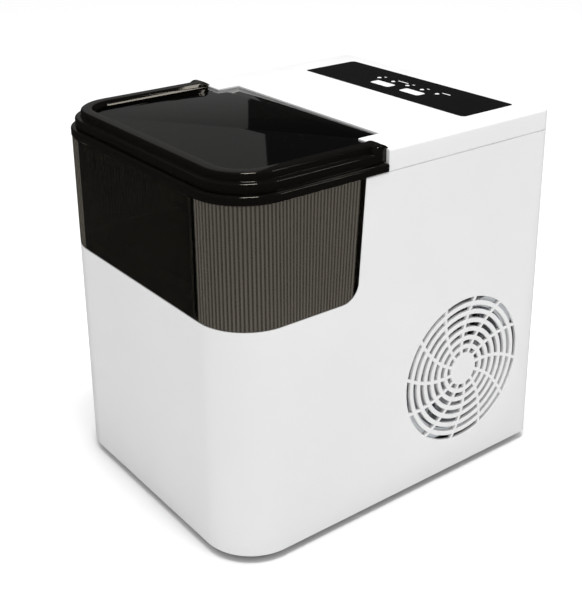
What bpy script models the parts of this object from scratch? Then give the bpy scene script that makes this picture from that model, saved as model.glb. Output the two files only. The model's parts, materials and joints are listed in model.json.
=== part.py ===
"""A countertop ice maker: white housing, smoked viewing window and stepped lid, and its working insides.

The model stands on z = 0 with its front towards -Y and its origin under the middle of its base.
Every size below is in millimetres. The mesh helpers turn millimetres into Blender's metres.
"""

import math

import bmesh
import bpy
from mathutils import Matrix, Vector

MM = 0.001

for old_object in list(bpy.data.objects):
    bpy.data.objects.remove(old_object, do_unlink=True)

# ---------------------------------------------------------------- driving dimensions
GAP = 0.3  # clearance left between pieces that touch

HALF_WIDTH = 120.0
FRONT_Y = -148.5
REAR_Y = 148.5
FRONT_CORNER = 40.0
REAR_CORNER = 8.0
WALL = 2.5
REAR_WALL = 5.0
FOOT_HEIGHT = 8.0
SHELL_BOTTOM = 6.0
SEAM_Z = 272.0  # where the housing's side wall ends and the top cover starts
TOP_Z = 287.5

WINDOW_BOTTOM = 183.0
WINDOW_REAR_TOP = -37.0  # y of the window's slanted rear edge at the seam
WINDOW_REAR_SLOPE = 0.072  # y lost per millimetre down that edge
WINDOW_REAR_RADIUS = 14.0

COLLAR_TOP = 277.4
COLLAR_PROUD = 0.5
COLLAR_REAR = -17.3
LEDGE_WIDTH = 12.5

HINGE_Y = -21.0
HINGE_Z = 283.0
PIN_RADIUS = 1.6
PIN_END = 114.0
LUG_INNER = 105.3  # the lugs stand inside the hollow of the lid's rim
LUG_OUTER = 108.3
LUG_RADIUS = 3.6
EAR_RADIUS = 7.5
LID_HALF = 117.0
LID_FRONT = -145.4
LID_CORNER = 37.0
LID_BOTTOM = COLLAR_TOP + GAP
LID_STEP_Z = 284.8
LID_TOP = 290.5
STEP_INSET = 4.5
RIM_WIDTH = 10.0
LID_WALL = 2.5
PLATE_TOP = 286.5
PLATE_REAR = -14.2
RIM_REAR = -19.0
TONGUE_HALF = 86.6
TONGUE_REAR = 1.8

COVER_FRONT = -12.9
COVER_NOTCH_HALF = 87.2
COVER_NOTCH_FRONT = 2.6

PANEL_HALF = 94.8
PANEL_FRONT = 79.0
PANEL_REAR = 134.0
PANEL_CORNER = 3.5
BUTTON_X = 17.5
BUTTON_Y = 99.8
BUTTON_SIZE = (22.0, 9.5)
LIGHT_PITCH = 17.25
LIGHT_Y = 111.2
LIGHT_RADIUS = 1.9

GRILLE_Y = 66.3
GRILLE_Z = 92.0
GRILLE_RINGS = 7
GRILLE_SPOKES = 12
GRILLE_OUTER = 58.1
GRILLE_PITCH = 7.14
GRILLE_SLOT = 3.5
SPOKE_WIDTH = 2.7
SPOKE_START = 16.2  # degrees from +Y towards +Z at which the first spoke leaves the centre
SPOKE_TWIST = -25.0  # degrees that a spoke turns from the centre to the rim

LINER_HALF = 104.0
LINER_FRONT = -133.5
LINER_REAR = 8.0
LINER_WALL = 2.0
LINER_BOTTOM = 66.0
LINER_TOP = 262.0

TRAY_Y = -24.0
TRAY_Z = 222.0
TRAY_INNER = 25.0
TRAY_OUTER = 27.0
TRAY_HALF = 80.0
PUSHER_INNER = 30.0
PUSHER_OUTER = 38.5
CHUTE_INNER = 39.5
EVAPORATOR_Y = -30.0
EVAPORATOR_Z = 236.0
EVAPORATOR_HALF = 95.0
EVAPORATOR_TUBE = 3.5
FINGER_COUNT = 9
FINGER_PITCH = 16.0
FINGER_RADIUS = 5.0
FINGER_BOTTOM = 203.0

BASKET_HALF = 96.0
BASKET_FRONT = -129.0
BASKET_REAR = -56.0
BASKET_BOTTOM = 112.0
BASKET_TOP = 192.0

SPOUT_X = 40.0
SPOUT_Z = 245.0
DRAIN_X = 25.0
DRAIN_Z = 44.0
PUMP_X = -60.0
PUMP_Y = -60.0
FLOAT_X = 70.0
FLOAT_Y = -100.0
FAN_FRONT = 117.0
FAN_RADIUS = 49.0
HUB_RADIUS = 18.0
BLADE_COUNT = 7
COMPRESSOR_X = -52.0
COMPRESSOR_Y = 78.0
INLET_X = -70.0
INLET_Z = 52.0
INLET_SIZE = (24, 18)

CUTTER_REACH = 130.0  # how far a cutter goes when it only has to leave the housing's side
REAR_BEYOND = 155.0  # how far a cutter goes when it only has to leave the housing's back
REAR_STEP = (100, 24, 262)  # the rear panel's seat: half width, lowest z and highest z
REAR_STEP_Y = 145.9
REAR_HOLE = (92, 32, 254)
SCREW_PLACES = [(x, z) for x in (-96, 96) for z in (34, 250)]
LOUVRES = [(x, 120 + 13 * row) for x in (-42, 42) for row in range(8)]
LOUVRE_SIZE = (64, 5)
INTAKE_SLOTS = [(78, 46 + 12 * row) for row in range(9)]
INTAKE_SIZE = (84, 5)
POCKET_DEPTH = 1.6
PANEL_OPENING = (84, 88, 124)  # half width, front y and rear y
FOOT_PLACES = [(-88, -112), (88, -112), (-88, 112), (88, 112)]
PAN_RIM_Z = 22.0
PAN_THICKNESS = 2.0
DRAIN_SPIGOT_Z = 76.0
FOAM_TOP = 180.6
PARTITION_Y = (8.3, 9.8)
PARTITION_TOP = 284.0
STEM_RADIUS = 2.0
STUB_RADIUS = 3.0
STUB_END = 104.2
PUSHER_HALF = 87.0
CHUTE_HALF = 101.7
BASKET_LIP = 11.0
SENSOR_Z = 197.0
SENSOR_Y = -31.0
CONDENSER_X = (62, 86)
CONDENSER_Y = (12, 118)
CONDENSER_Z = (30, 150)
FIN_COUNT = 23
FIN_PITCH = 4.4
FIN_GAP = 2.2
COMPRESSOR_FEET = (30, 150, 270)  # degrees round the compressor
COMPRESSOR_FOOT_REACH = {30: 54, 150: 54, 270: 44}
FAN_DEPTH = 25.0

# ---------------------------------------------------------------- materials
FINISHES = {
    # name: (colour, roughness, metallic, alpha)
    "white_plastic": ((0.88, 0.88, 0.88), 0.42, 0.0, 1.0),
    "smoked_plastic": ((0.05, 0.045, 0.04), 0.08, 0.0, 0.55),
    "black_glass": ((0.012, 0.012, 0.012), 0.08, 0.0, 1.0),
    "button_white": ((0.85, 0.85, 0.85), 0.35, 0.0, 1.0),
    "light_white": ((0.95, 0.95, 0.95), 0.3, 0.0, 1.0),
    "grey_plastic": ((0.32, 0.33, 0.34), 0.45, 0.0, 1.0),
    "black_plastic": ((0.03, 0.03, 0.03), 0.45, 0.0, 1.0),
    "pale_plastic": ((0.62, 0.64, 0.66), 0.4, 0.0, 1.0),
    "foam": ((0.9, 0.9, 0.86), 0.9, 0.0, 1.0),
    "rubber": ((0.02, 0.02, 0.02), 0.8, 0.0, 1.0),
    "steel": ((0.6, 0.6, 0.6), 0.3, 1.0, 1.0),
    "zinc_sheet": ((0.55, 0.56, 0.57), 0.45, 1.0, 1.0),
    "copper": ((0.72, 0.36, 0.2), 0.3, 1.0, 1.0),
    "nickel": ((0.66, 0.64, 0.6), 0.25, 1.0, 1.0),
    "aluminium": ((0.75, 0.76, 0.77), 0.35, 1.0, 1.0),
    "black_paint": ((0.015, 0.015, 0.017), 0.3, 0.0, 1.0),
    "circuit_board": ((0.02, 0.18, 0.07), 0.5, 0.0, 1.0),
    "silicone": ((0.75, 0.75, 0.72), 0.5, 0.0, 1.0),
}


def make_material(name):
    colour, roughness, metallic, alpha = FINISHES[name]
    made = bpy.data.materials.new(name)
    made.use_nodes = True
    shader = made.node_tree.nodes["Principled BSDF"]
    shader.inputs["Base Color"].default_value = (*colour, 1.0)
    shader.inputs["Roughness"].default_value = roughness
    shader.inputs["Metallic"].default_value = metallic
    shader.inputs["Alpha"].default_value = alpha
    made.diffuse_color = (*colour, alpha)
    return made


MATERIALS = {name: make_material(name) for name in FINISHES}


# ---------------------------------------------------------------- mesh helpers
def add_mesh(name, points, faces, finish=None):
    """A mesh object from points in millimetres, with its faces turned outwards."""
    mesh = bpy.data.meshes.new(name)
    mesh.from_pydata([Vector(point) * MM for point in points], [], faces)
    work = bmesh.new()
    work.from_mesh(mesh)
    bmesh.ops.recalc_face_normals(work, faces=work.faces)
    work.to_mesh(mesh)
    work.free()
    mesh.shade_smooth()
    mesh.set_sharp_from_angle(angle=math.radians(35))
    made = bpy.data.objects.new(name, mesh)
    bpy.context.scene.collection.objects.link(made)
    if finish:
        mesh.materials.append(MATERIALS[finish])
    return made


def along(axis, across, up, depth):
    """A point whose depth runs along the named axis. The other two follow in X, Y, Z order."""
    if axis == "X":
        return (depth, across, up)
    if axis == "Y":
        return (across, depth, up)
    return (across, up, depth)


def prism(name, outline, low, high, finish=None, axis="Z"):
    """A flat outline extruded between two depths along an axis."""
    count = len(outline)
    points = [along(axis, a, b, low) for a, b in outline] + [along(axis, a, b, high) for a, b in outline]
    faces = [tuple(range(count)), tuple(range(count, 2 * count))]
    faces += [(i, (i + 1) % count, count + (i + 1) % count, count + i) for i in range(count)]
    return add_mesh(name, points, faces, finish)


def prisms(name, outlines, low, high, finish=None, axis="Z"):
    """Several separate extruded outlines in one object, for use as a cutter or a union piece."""
    points, faces = [], []
    for outline in outlines:
        start, count = len(points), len(outline)
        points += [along(axis, a, b, low) for a, b in outline]
        points += [along(axis, a, b, high) for a, b in outline]
        faces += [tuple(range(start, start + count)), tuple(range(start + count, start + 2 * count))]
        for i in range(count):
            j = (i + 1) % count
            faces.append((start + i, start + j, start + count + j, start + count + i))
    return add_mesh(name, points, faces, finish)


def box(name, low, high, finish=None):
    outline = [(low[0], low[1]), (high[0], low[1]), (high[0], high[1]), (low[0], high[1])]
    return prism(name, outline, low[2], high[2], finish)


def ring_prism(name, outer, inner, low, high, finish=None):
    """The wall between two outlines that have the same number of points."""
    count = len(outer)
    loops = [(outer, low), (outer, high), (inner, high), (inner, low)]
    points = [(a, b, z) for outline, z in loops for a, b in outline]
    faces = []
    for band in range(4):
        first, second = band * count, (band + 1) % 4 * count
        faces += [
            (first + i, first + (i + 1) % count, second + (i + 1) % count, second + i) for i in range(count)
        ]
    return add_mesh(name, points, faces, finish)


def turned(name, profile, centre, finish=None, axis="Z", steps=24, hollow=False):
    """A turned solid. The profile is (radius, depth) pairs, and a hollow one closes on itself."""
    points, rings = [], []
    for radius, depth in profile:
        if radius == 0:
            rings.append([len(points)])
            points.append((0.0, 0.0, depth))
            continue
        rings.append(list(range(len(points), len(points) + steps)))
        for step in range(steps):
            angle = 2 * math.pi * step / steps
            points.append((radius * math.cos(angle), radius * math.sin(angle), depth))
    faces = []
    pairs = list(zip(rings, rings[1:] + rings[:1])) if hollow else list(zip(rings, rings[1:]))
    for first, second in pairs:
        for step in range(steps):
            after = (step + 1) % steps
            if len(first) == 1:
                faces.append((first[0], second[step], second[after]))
            elif len(second) == 1:
                faces.append((first[step], first[after], second[0]))
            else:
                faces.append((first[step], first[after], second[after], second[step]))
    if not hollow:
        faces += [tuple(ring) for ring in (rings[0], rings[-1]) if len(ring) > 1]
    placed = [Vector(along(axis, a, b, depth)) + Vector(centre) for a, b, depth in points]
    return add_mesh(name, placed, faces, finish)


def cylinder(name, centre, radius, low, high, finish=None, axis="Z", steps=16):
    """A rod between two depths. The centre's own depth is left at zero."""
    return turned(name, [(radius, low), (radius, high)], centre, finish, axis, steps)


def round_corners(corners, steps=3):
    """An outline from (a, b, radius) corners, each rounded with an arc where it has a radius."""
    outline = []
    count = len(corners)
    for i, (a, b, radius) in enumerate(corners):
        here = Vector((a, b))
        if radius <= 0:
            outline.append((a, b))
            continue
        before = (Vector(corners[i - 1][:2]) - here).normalized()
        after = (Vector(corners[(i + 1) % count][:2]) - here).normalized()
        half = before.angle(after) / 2
        centre = here + (before + after).normalized() * (radius / math.sin(half))
        start = here + before * (radius / math.tan(half)) - centre
        end = here + after * (radius / math.tan(half)) - centre
        turn = start.angle_signed(end)
        for step in range(steps + 1):
            point = centre + Matrix.Rotation(-turn * step / steps, 2) @ start
            outline.append((point.x, point.y))
    return outline


def circle(a, b, radius, steps=12):
    return [(a + radius * math.cos(2 * math.pi * k / steps), b + radius * math.sin(2 * math.pi * k / steps))
            for k in range(steps)]


def rounded_box_outline(centre, size, radius, steps=3):
    a, b = centre
    w, h = size[0] / 2, size[1] / 2
    corners = [(a - w, b - h), (a + w, b - h), (a + w, b + h), (a - w, b + h)]
    return round_corners([(*corner, radius) for corner in corners], steps)


def plan(half, front, rear, front_radius, rear_radius, front_steps=8, rear_steps=2):
    """The housing's outline seen from above: wide round corners in front, small ones at the rear."""
    front_part = round_corners([(-half, front, front_radius), (half, front, front_radius),
                                (half, 1000.0, 0), (-half, 1000.0, 0)], front_steps)[:2 * (front_steps + 1)]
    rear_part = round_corners([(half, rear, rear_radius), (-half, rear, rear_radius),
                               (-half, -1000.0, 0), (half, -1000.0, 0)], rear_steps)[:2 * (rear_steps + 1)]
    return front_part + (rear_part if rear_radius > 0 else [(half, rear), (-half, rear)])


def sweep_front(name, profile, half, front, corner, rear, finish=None, steps=8):
    """A closed cross-section carried round the front of the housing, from one rear end to the other.

    The profile is (inset, z) pairs, and inset is measured inwards from the given outline.
    """
    sections = []
    for inset, z in profile:
        radius = max(corner - inset, 0.5)
        arc = plan(half - inset, front + inset, rear, radius, 0, steps)[:2 * (steps + 1)]
        path = [(-half + inset, rear)] + arc + [(half - inset, rear)]
        sections.append([(a, b, z) for a, b in path])
    length, count = len(sections[0]), len(sections)
    points = [section[i] for i in range(length) for section in sections]
    faces = [tuple(range(count)), tuple(range((length - 1) * count, length * count))]
    for i in range(length - 1):
        for j in range(count):
            k = (j + 1) % count
            faces.append((i * count + j, i * count + k, (i + 1) * count + k, (i + 1) * count + j))
    return add_mesh(name, points, faces, finish)


def boolean(body, other, operation="DIFFERENCE"):
    """Cuts or joins with a helper, which is then left out of renders."""
    other.hide_render = True
    other.display_type = "WIRE"
    modifier = body.modifiers.new(operation.title(), "BOOLEAN")
    modifier.operation = operation
    modifier.solver = "EXACT"
    modifier.object = other
    return body


def join(body, *others):
    for other in others:
        boolean(body, other, "UNION")
    return body


def cut(body, *others):
    for other in others:
        boolean(body, other)
    return body


def smooth_route(points, per_span=4):
    """Points along a Catmull-Rom curve through a route's own points, with its first and last spans straight."""
    route = [Vector(point) for point in points]
    found = [route[0]]
    for a, b, c, d in zip(route, route[1:], route[2:], route[3:]):
        for step in range(per_span):
            t = step / per_span
            found.append(0.5 * (2 * b + (c - a) * t + (2 * a - 5 * b + 4 * c - d) * t**2
                                + (3 * b - a - 3 * c + d) * t**3))
    return found + route[-2:]


def pipe(name, route, radius, finish, resolution=2):
    """A round pipe or hose along a route."""
    curve = bpy.data.curves.new(name, "CURVE")
    curve.dimensions = "3D"
    curve.bevel_depth = radius * MM
    curve.bevel_resolution = resolution
    curve.use_fill_caps = True
    spline = curve.splines.new("POLY")
    spline.points.add(len(route) - 1)
    for spline_point, point in zip(spline.points, route):
        spline_point.co = (*(Vector(point) * MM), 1.0)
    made = bpy.data.objects.new(name, curve)
    bpy.context.scene.collection.objects.link(made)
    curve.materials.append(MATERIALS[finish])
    return made


def as_mesh(curve_object):
    """Turns a pipe into a mesh object of the same name, so that a Boolean can work on it."""
    name = curve_object.name
    bpy.context.view_layer.update()
    mesh = bpy.data.meshes.new_from_object(curve_object.evaluated_get(bpy.context.evaluated_depsgraph_get()))
    bpy.data.objects.remove(curve_object, do_unlink=True)
    mesh.name = name
    made = bpy.data.objects.new(name, mesh)
    bpy.context.scene.collection.objects.link(made)
    return made


def pivot(name, point):
    """An empty on a joint's axis."""
    empty = bpy.data.objects.new(name, None)
    empty.empty_display_size = 0.02
    empty.location = Vector(point) * MM
    bpy.context.scene.collection.objects.link(empty)
    return empty


def hang(empty, *pieces):
    """Gives pieces their origin on the joint's axis and parents them to its empty."""
    for piece in pieces:
        piece.data.transform(Matrix.Translation(-empty.location))
        piece.parent = empty


# ---------------------------------------------------------------- housing
def shell_plan(inset, rear_inset=None):
    rear_inset = inset if rear_inset is None else rear_inset
    return plan(HALF_WIDTH - inset, FRONT_Y + inset, REAR_Y - rear_inset, FRONT_CORNER - inset,
                REAR_CORNER - inset)


def window_profile(grow):
    """The viewing window's outline seen from the side, in y and z, grown or shrunk all round."""
    bottom = WINDOW_BOTTOM - grow
    top = SEAM_Z + 20

    def rear(z):
        return WINDOW_REAR_TOP - (SEAM_Z - z) * WINDOW_REAR_SLOPE + grow

    return round_corners([(FRONT_Y - 20, bottom, 0), (rear(bottom), bottom, WINDOW_REAR_RADIUS + grow),
                          (rear(top), top, 0), (FRONT_Y - 20, top, 0)], 6)


def grille_slots():
    """The arc slots of the fan grille: rings broken by curved spokes."""
    slots = []
    for ring in range(GRILLE_RINGS):
        middle = GRILLE_OUTER - ring * GRILLE_PITCH
        low, high = middle - GRILLE_SLOT / 2, middle + GRILLE_SLOT / 2
        steps = 3 if middle > 30 else 2
        for spoke in range(GRILLE_SPOKES):
            edge = []
            for radius, order in ((high, range(steps + 1)), (low, range(steps, -1, -1))):
                twist = math.radians(SPOKE_START + SPOKE_TWIST * radius / GRILLE_OUTER)
                start = 2 * math.pi * spoke / GRILLE_SPOKES + twist + SPOKE_WIDTH / 2 / radius
                end = 2 * math.pi * (spoke + 1) / GRILLE_SPOKES + twist - SPOKE_WIDTH / 2 / radius
                for step in order:
                    angle = start + (end - start) * step / steps
                    edge.append((GRILLE_Y + radius * math.cos(angle), GRILLE_Z + radius * math.sin(angle)))
            slots.append(edge)
    return slots


def make_side_shell():
    shell = ring_prism("side_shell", shell_plan(0), shell_plan(WALL, REAR_WALL), SHELL_BOTTOM, SEAM_Z - GAP,
                       "white_plastic")
    window = prism("window_cutter", window_profile(0), -CUTTER_REACH, CUTTER_REACH, axis="X")
    half, low, high = REAR_STEP
    rear_step = box("rear_step_cutter", (-half, REAR_STEP_Y, low), (half, REAR_BEYOND, high))
    half, low, high = REAR_HOLE
    rear_hole = box("rear_hole_cutter", (-half, CUTTER_REACH, low), (half, REAR_BEYOND, high))
    grille = prisms("grille_cutter", grille_slots(), 110, CUTTER_REACH, axis="X")
    slots = [rounded_box_outline(place, INTAKE_SIZE, 2.4, 2) for place in INTAKE_SLOTS]
    intake = prisms("intake_cutter", slots, -CUTTER_REACH, -110, axis="X")
    cut(shell, window, rear_step, rear_hole, grille, intake)


def make_rear_panel():
    half, low, high = REAR_STEP
    panel = box("rear_panel", (-half + GAP, REAR_STEP_Y + GAP, low + GAP), (half - GAP, REAR_Y, high - GAP),
                "white_plastic")
    louvres = [rounded_box_outline(place, LOUVRE_SIZE, 2.4, 2) for place in LOUVRES]
    slots = prisms("louvre_cutter", louvres, 140, REAR_BEYOND, axis="Y")
    inlet_size = (INLET_SIZE[0] + 2 * GAP, INLET_SIZE[1] + 2 * GAP)
    inlet = prism("inlet_cutter", rounded_box_outline((INLET_X, INLET_Z), inlet_size, 4, 2), 140, REAR_BEYOND,
                  axis="Y")
    drain = cylinder("drain_cutter", (DRAIN_X, 0, DRAIN_Z), 9.8, 140, REAR_BEYOND, axis="Y")
    head_outlines = [circle(x, z, 3.5) for x, z in SCREW_PLACES]
    hole_outlines = [circle(x, z, 1.8) for x, z in SCREW_PLACES]
    heads = prisms("screw_sink_cutter", head_outlines, 147.0, REAR_BEYOND, axis="Y")
    holes = prisms("screw_hole_cutter", hole_outlines, 140, REAR_BEYOND, axis="Y")
    cut(panel, slots, inlet, drain, heads, holes)
    sockets = prisms("screw_socket_cutter", hole_outlines, 120, 147, axis="Y")
    cut(bpy.data.objects["side_shell"], sockets)
    for number, (x, z) in enumerate(SCREW_PLACES, 1):
        screw = turned(f"panel_screw_{number}", [(1.5, 140.5), (1.5, 147.3), (3.2, 147.3), (3.2, 148.4)],
                       (x, 0, z), "steel", "Y", 12)
        recess = box(f"screw_{number}_slot_cutter", (x - 2.2, 147.9, z - 0.4), (x + 2.2, 150, z + 0.4))
        cut(screw, recess)


def cover_plan(inset):
    half, front = HALF_WIDTH - inset, COVER_FRONT + inset
    notch, notch_front = COVER_NOTCH_HALF + inset, COVER_NOTCH_FRONT + inset
    corner = REAR_CORNER - inset
    return round_corners([(-half, front, 0), (-notch, front, 0), (-notch, notch_front, 0),
                          (notch, notch_front, 0), (notch, front, 0), (half, front, 0),
                          (half, REAR_Y - inset, corner), (-half, REAR_Y - inset, corner)], 4)


def make_top_cover():
    cover = prism("top_cover", cover_plan(0), SEAM_Z + 0.1, TOP_Z, "white_plastic")
    inside = prism("cover_inside_cutter", cover_plan(WALL), SEAM_Z - 5, TOP_Z - 3.2)
    middle = (PANEL_FRONT + PANEL_REAR) / 2
    size = (2 * PANEL_HALF + 2 * GAP, PANEL_REAR - PANEL_FRONT + 2 * GAP)
    pocket = prism("panel_pocket_cutter", rounded_box_outline((0, middle), size, PANEL_CORNER + GAP),
                   TOP_Z - POCKET_DEPTH, TOP_Z + 5)
    half, front, rear = PANEL_OPENING
    opening = box("panel_opening_cutter", (-half, front, TOP_Z - 6), (half, rear, TOP_Z + 1))
    cut(cover, inside, pocket, opening)
    for side in (-1, 1):
        low, high = sorted((side * (HALF_WIDTH - WALL), side * HALF_WIDTH))
        toe = box(f"cover_toe_{side}", (low, COLLAR_REAR + GAP, SEAM_Z + 0.1),
                  (high, COVER_FRONT + 1, COLLAR_TOP))
        join(cover, toe)


def make_control_panel():
    middle = (PANEL_FRONT + PANEL_REAR) / 2
    size = (2 * PANEL_HALF, PANEL_REAR - PANEL_FRONT)
    glass = prism("control_glass", rounded_box_outline((0, middle), size, PANEL_CORNER), TOP_Z - 1.3, TOP_Z,
                  "black_glass")
    hole_size = (BUTTON_SIZE[0] + 2 * GAP, BUTTON_SIZE[1] + 2 * GAP)
    holes = [rounded_box_outline((x, BUTTON_Y), hole_size, 2.3) for x in (-BUTTON_X, BUTTON_X)]
    lights = [LIGHT_PITCH * (k - 2) for k in range(5)]
    holes += [circle(x, LIGHT_Y, LIGHT_RADIUS + GAP) for x in lights]
    cut(glass, prisms("glass_hole_cutter", holes, TOP_Z - 5, TOP_Z + 5))

    for name, x in (("power_button", -BUTTON_X), ("select_button", BUTTON_X)):
        button = prism(name, rounded_box_outline((x, BUTTON_Y), BUTTON_SIZE, 2.0), TOP_Z - 2.6, TOP_Z + 0.2,
                       "button_white")
        skirt = rounded_box_outline((x, BUTTON_Y), (BUTTON_SIZE[0] + 3, BUTTON_SIZE[1] + 3), 2.0)
        join(button, prism(name + "_flange", skirt, TOP_Z - 2.9, TOP_Z - 1.7))
        hang(pivot(name + "_travel", (x, BUTTON_Y, TOP_Z)), button)

    guide = box("light_guide", (-42, LIGHT_Y - 3, TOP_Z - 3.6), (42, LIGHT_Y + 3, TOP_Z - 1.8), "light_white")
    pips = prisms("light_pips", [circle(x, LIGHT_Y, LIGHT_RADIUS) for x in lights], TOP_Z - 2.6, TOP_Z - 0.05)
    join(guide, pips)

    board = box("display_board", (-60, 83, TOP_Z - 6.3), (60, 129, TOP_Z - 4.7), "circuit_board")
    switches = [rounded_box_outline((x, BUTTON_Y), (6, 6), 0.5, 1) for x in (-BUTTON_X, BUTTON_X)]
    spacers = [circle(x, y, 1.8) for x in (-56, 56) for y in (85.5, 126.5)]
    join(board, prisms("tact_switches", switches, TOP_Z - 5.2, TOP_Z - 3.8),
         prisms("board_spacers", spacers, TOP_Z - 5.2, TOP_Z - 3.5))


def make_base():
    pan = prism("base_pan", shell_plan(WALL + GAP, REAR_WALL + GAP), FOOT_HEIGHT + GAP, PAN_RIM_Z, "zinc_sheet")
    inside = shell_plan(WALL + GAP + PAN_THICKNESS, REAR_WALL + GAP + PAN_THICKNESS)
    cut(pan, prism("pan_inside_cutter", inside, FOOT_HEIGHT + GAP + PAN_THICKNESS, PAN_RIM_Z + 18))
    for number, (x, y) in enumerate(FOOT_PLACES, 1):
        turned(f"rubber_foot_{number}", [(8.5, 0), (10, 1.2), (10, FOOT_HEIGHT - 1), (9, FOOT_HEIGHT)],
               (x, y, 0), "rubber", steps=16)


# ---------------------------------------------------------------- window and lid
def make_window():
    walls = ring_prism("viewing_window", shell_plan(0), shell_plan(WALL), WINDOW_BOTTOM + GAP, COLLAR_TOP - 3,
                       "smoked_plastic")
    shape = prism("window_shape", window_profile(-GAP), -CUTTER_REACH, CUTTER_REACH, axis="X")
    boolean(walls, shape, "INTERSECT")
    collar_bottom = SEAM_Z - 0.6
    collar = sweep_front("collar_section", [(0, SEAM_Z), (0, COLLAR_TOP), (LEDGE_WIDTH, COLLAR_TOP),
                                            (LEDGE_WIDTH, collar_bottom), (2.0, collar_bottom), (2.0, SEAM_Z)],
                         HALF_WIDTH + COLLAR_PROUD, FRONT_Y - COLLAR_PROUD, FRONT_CORNER + COLLAR_PROUD,
                         COLLAR_REAR)
    join(walls, collar)
    # Behind the window the ledge is cut back to an outer strip, so that the lid's ears can turn down inside it.
    relief = EAR_RADIUS + 1.0
    cut(walls, box("strip_bottom_cutter", (-CUTTER_REACH, WINDOW_REAR_TOP - GAP, SEAM_Z - 8),
                   (CUTTER_REACH, 0, SEAM_Z)))
    for side in (-1, 1):
        low, high = sorted((side * (LID_HALF + 0.6), side * 90))
        cut(walls, box(f"ear_relief_cutter_{side}", (low, HINGE_Y - relief, SEAM_Z - 8),
                       (high, 0, COLLAR_TOP + 9)))
        lug_low, lug_high = sorted((side * LUG_INNER, side * LUG_OUTER))
        post = box(f"lug_post_{side}", (lug_low, -50, SEAM_Z - 0.6), (lug_high, HINGE_Y + 2, HINGE_Z - 3.0))
        head = cylinder(f"lug_head_{side}", (0, HINGE_Y, HINGE_Z), LUG_RADIUS, lug_low, lug_high, axis="X",
                        steps=20)
        arm_low, arm_high = sorted((side * LUG_INNER, side * (HALF_WIDTH - 10)))
        arm = box(f"lug_arm_{side}", (arm_low, -50, SEAM_Z - 0.5),
                  (arm_high, HINGE_Y - relief - 1, COLLAR_TOP - 0.4))
        join(walls, post, head, arm)
        bore_low, bore_high = sorted((side * (LUG_INNER - 2), side * (LUG_OUTER + 2)))
        bore = cylinder(f"lug_bore_cutter_{side}", (0, HINGE_Y, HINGE_Z), PIN_RADIUS + GAP, bore_low,
                        bore_high, axis="X", steps=16)
        cut(walls, bore)


def make_lid():
    inner_rim = STEP_INSET + RIM_WIDTH
    section = [(0, LID_BOTTOM), (0, LID_STEP_Z), (STEP_INSET, LID_STEP_Z), (STEP_INSET, LID_TOP),
               (inner_rim, LID_TOP), (inner_rim, PLATE_TOP - LID_WALL),
               (inner_rim - LID_WALL, PLATE_TOP - LID_WALL), (inner_rim - LID_WALL, LID_TOP - LID_WALL),
               (STEP_INSET + LID_WALL, LID_TOP - LID_WALL), (STEP_INSET + LID_WALL, LID_STEP_Z - LID_WALL),
               (LID_WALL, LID_STEP_Z - LID_WALL), (LID_WALL, LID_BOTTOM)]
    lid = sweep_front("lid", section, LID_HALF, LID_FRONT, LID_CORNER, RIM_REAR, "smoked_plastic")
    reach = inner_rim - 1.0
    plate = plan(LID_HALF - reach, LID_FRONT + reach, PLATE_REAR, LID_CORNER - reach, 0)
    tongue = [(TONGUE_HALF, PLATE_REAR), (TONGUE_HALF, TONGUE_REAR), (-TONGUE_HALF, TONGUE_REAR),
              (-TONGUE_HALF, PLATE_REAR)]
    outline = plate[:-1] + tongue + plate[-1:]
    join(lid, prism("lid_plate", outline, PLATE_TOP - LID_WALL, PLATE_TOP))
    for side in (-1, 1):
        low, high = sorted((side * (LID_HALF - inner_rim), side * LID_HALF))
        ear = cylinder(f"lid_ear_{side}", (0, HINGE_Y, HINGE_Z), EAR_RADIUS, low, high, axis="X", steps=28)
        heel = box(f"ear_heel_{side}", (low, HINGE_Y - EAR_RADIUS, LID_BOTTOM),
                   (high, HINGE_Y + EAR_RADIUS, HINGE_Z))
        flat = box(f"ear_flat_cutter_{side}", (low - 5, HINGE_Y - 20, 250),
                   (high + 5, HINGE_Y + 20, LID_BOTTOM))
        # The slot is open below and behind, so that the housing's lug stays clear as the lid turns round it.
        slot_low, slot_high = sorted((side * (LUG_INNER - GAP), side * (LUG_OUTER + GAP)))
        slot = box(f"lug_slot_cutter_{side}", (slot_low, HINGE_Y - 20, 250),
                   (slot_high, HINGE_Y + 20, HINGE_Z + 2.6))
        slot_top = cylinder(f"lug_slot_top_cutter_{side}", (0, HINGE_Y, HINGE_Z), LUG_RADIUS + 0.5, slot_low,
                            slot_high, axis="X", steps=24)
        join(ear, heel)
        cut(ear, flat, slot, slot_top)
        join(lid, ear)
        bore_low, bore_high = sorted((side * (LUG_INNER - 0.2), side * (PIN_END + 0.5)))
        bore = cylinder(f"ear_bore_cutter_{side}", (0, HINGE_Y, HINGE_Z), PIN_RADIUS + GAP, bore_low,
                        bore_high, axis="X", steps=16)
        cut(lid, bore)
    pins = []
    for name, side in (("hinge_pin_left", -1), ("hinge_pin_right", 1)):
        low, high = sorted((side * LUG_INNER, side * PIN_END))
        pins.append(cylinder(name, (0, HINGE_Y, HINGE_Z), PIN_RADIUS, low, high, "steel", "X", 14))
    hang(pivot("lid_hinge", (0, HINGE_Y, HINGE_Z)), lid, *pins)


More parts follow.
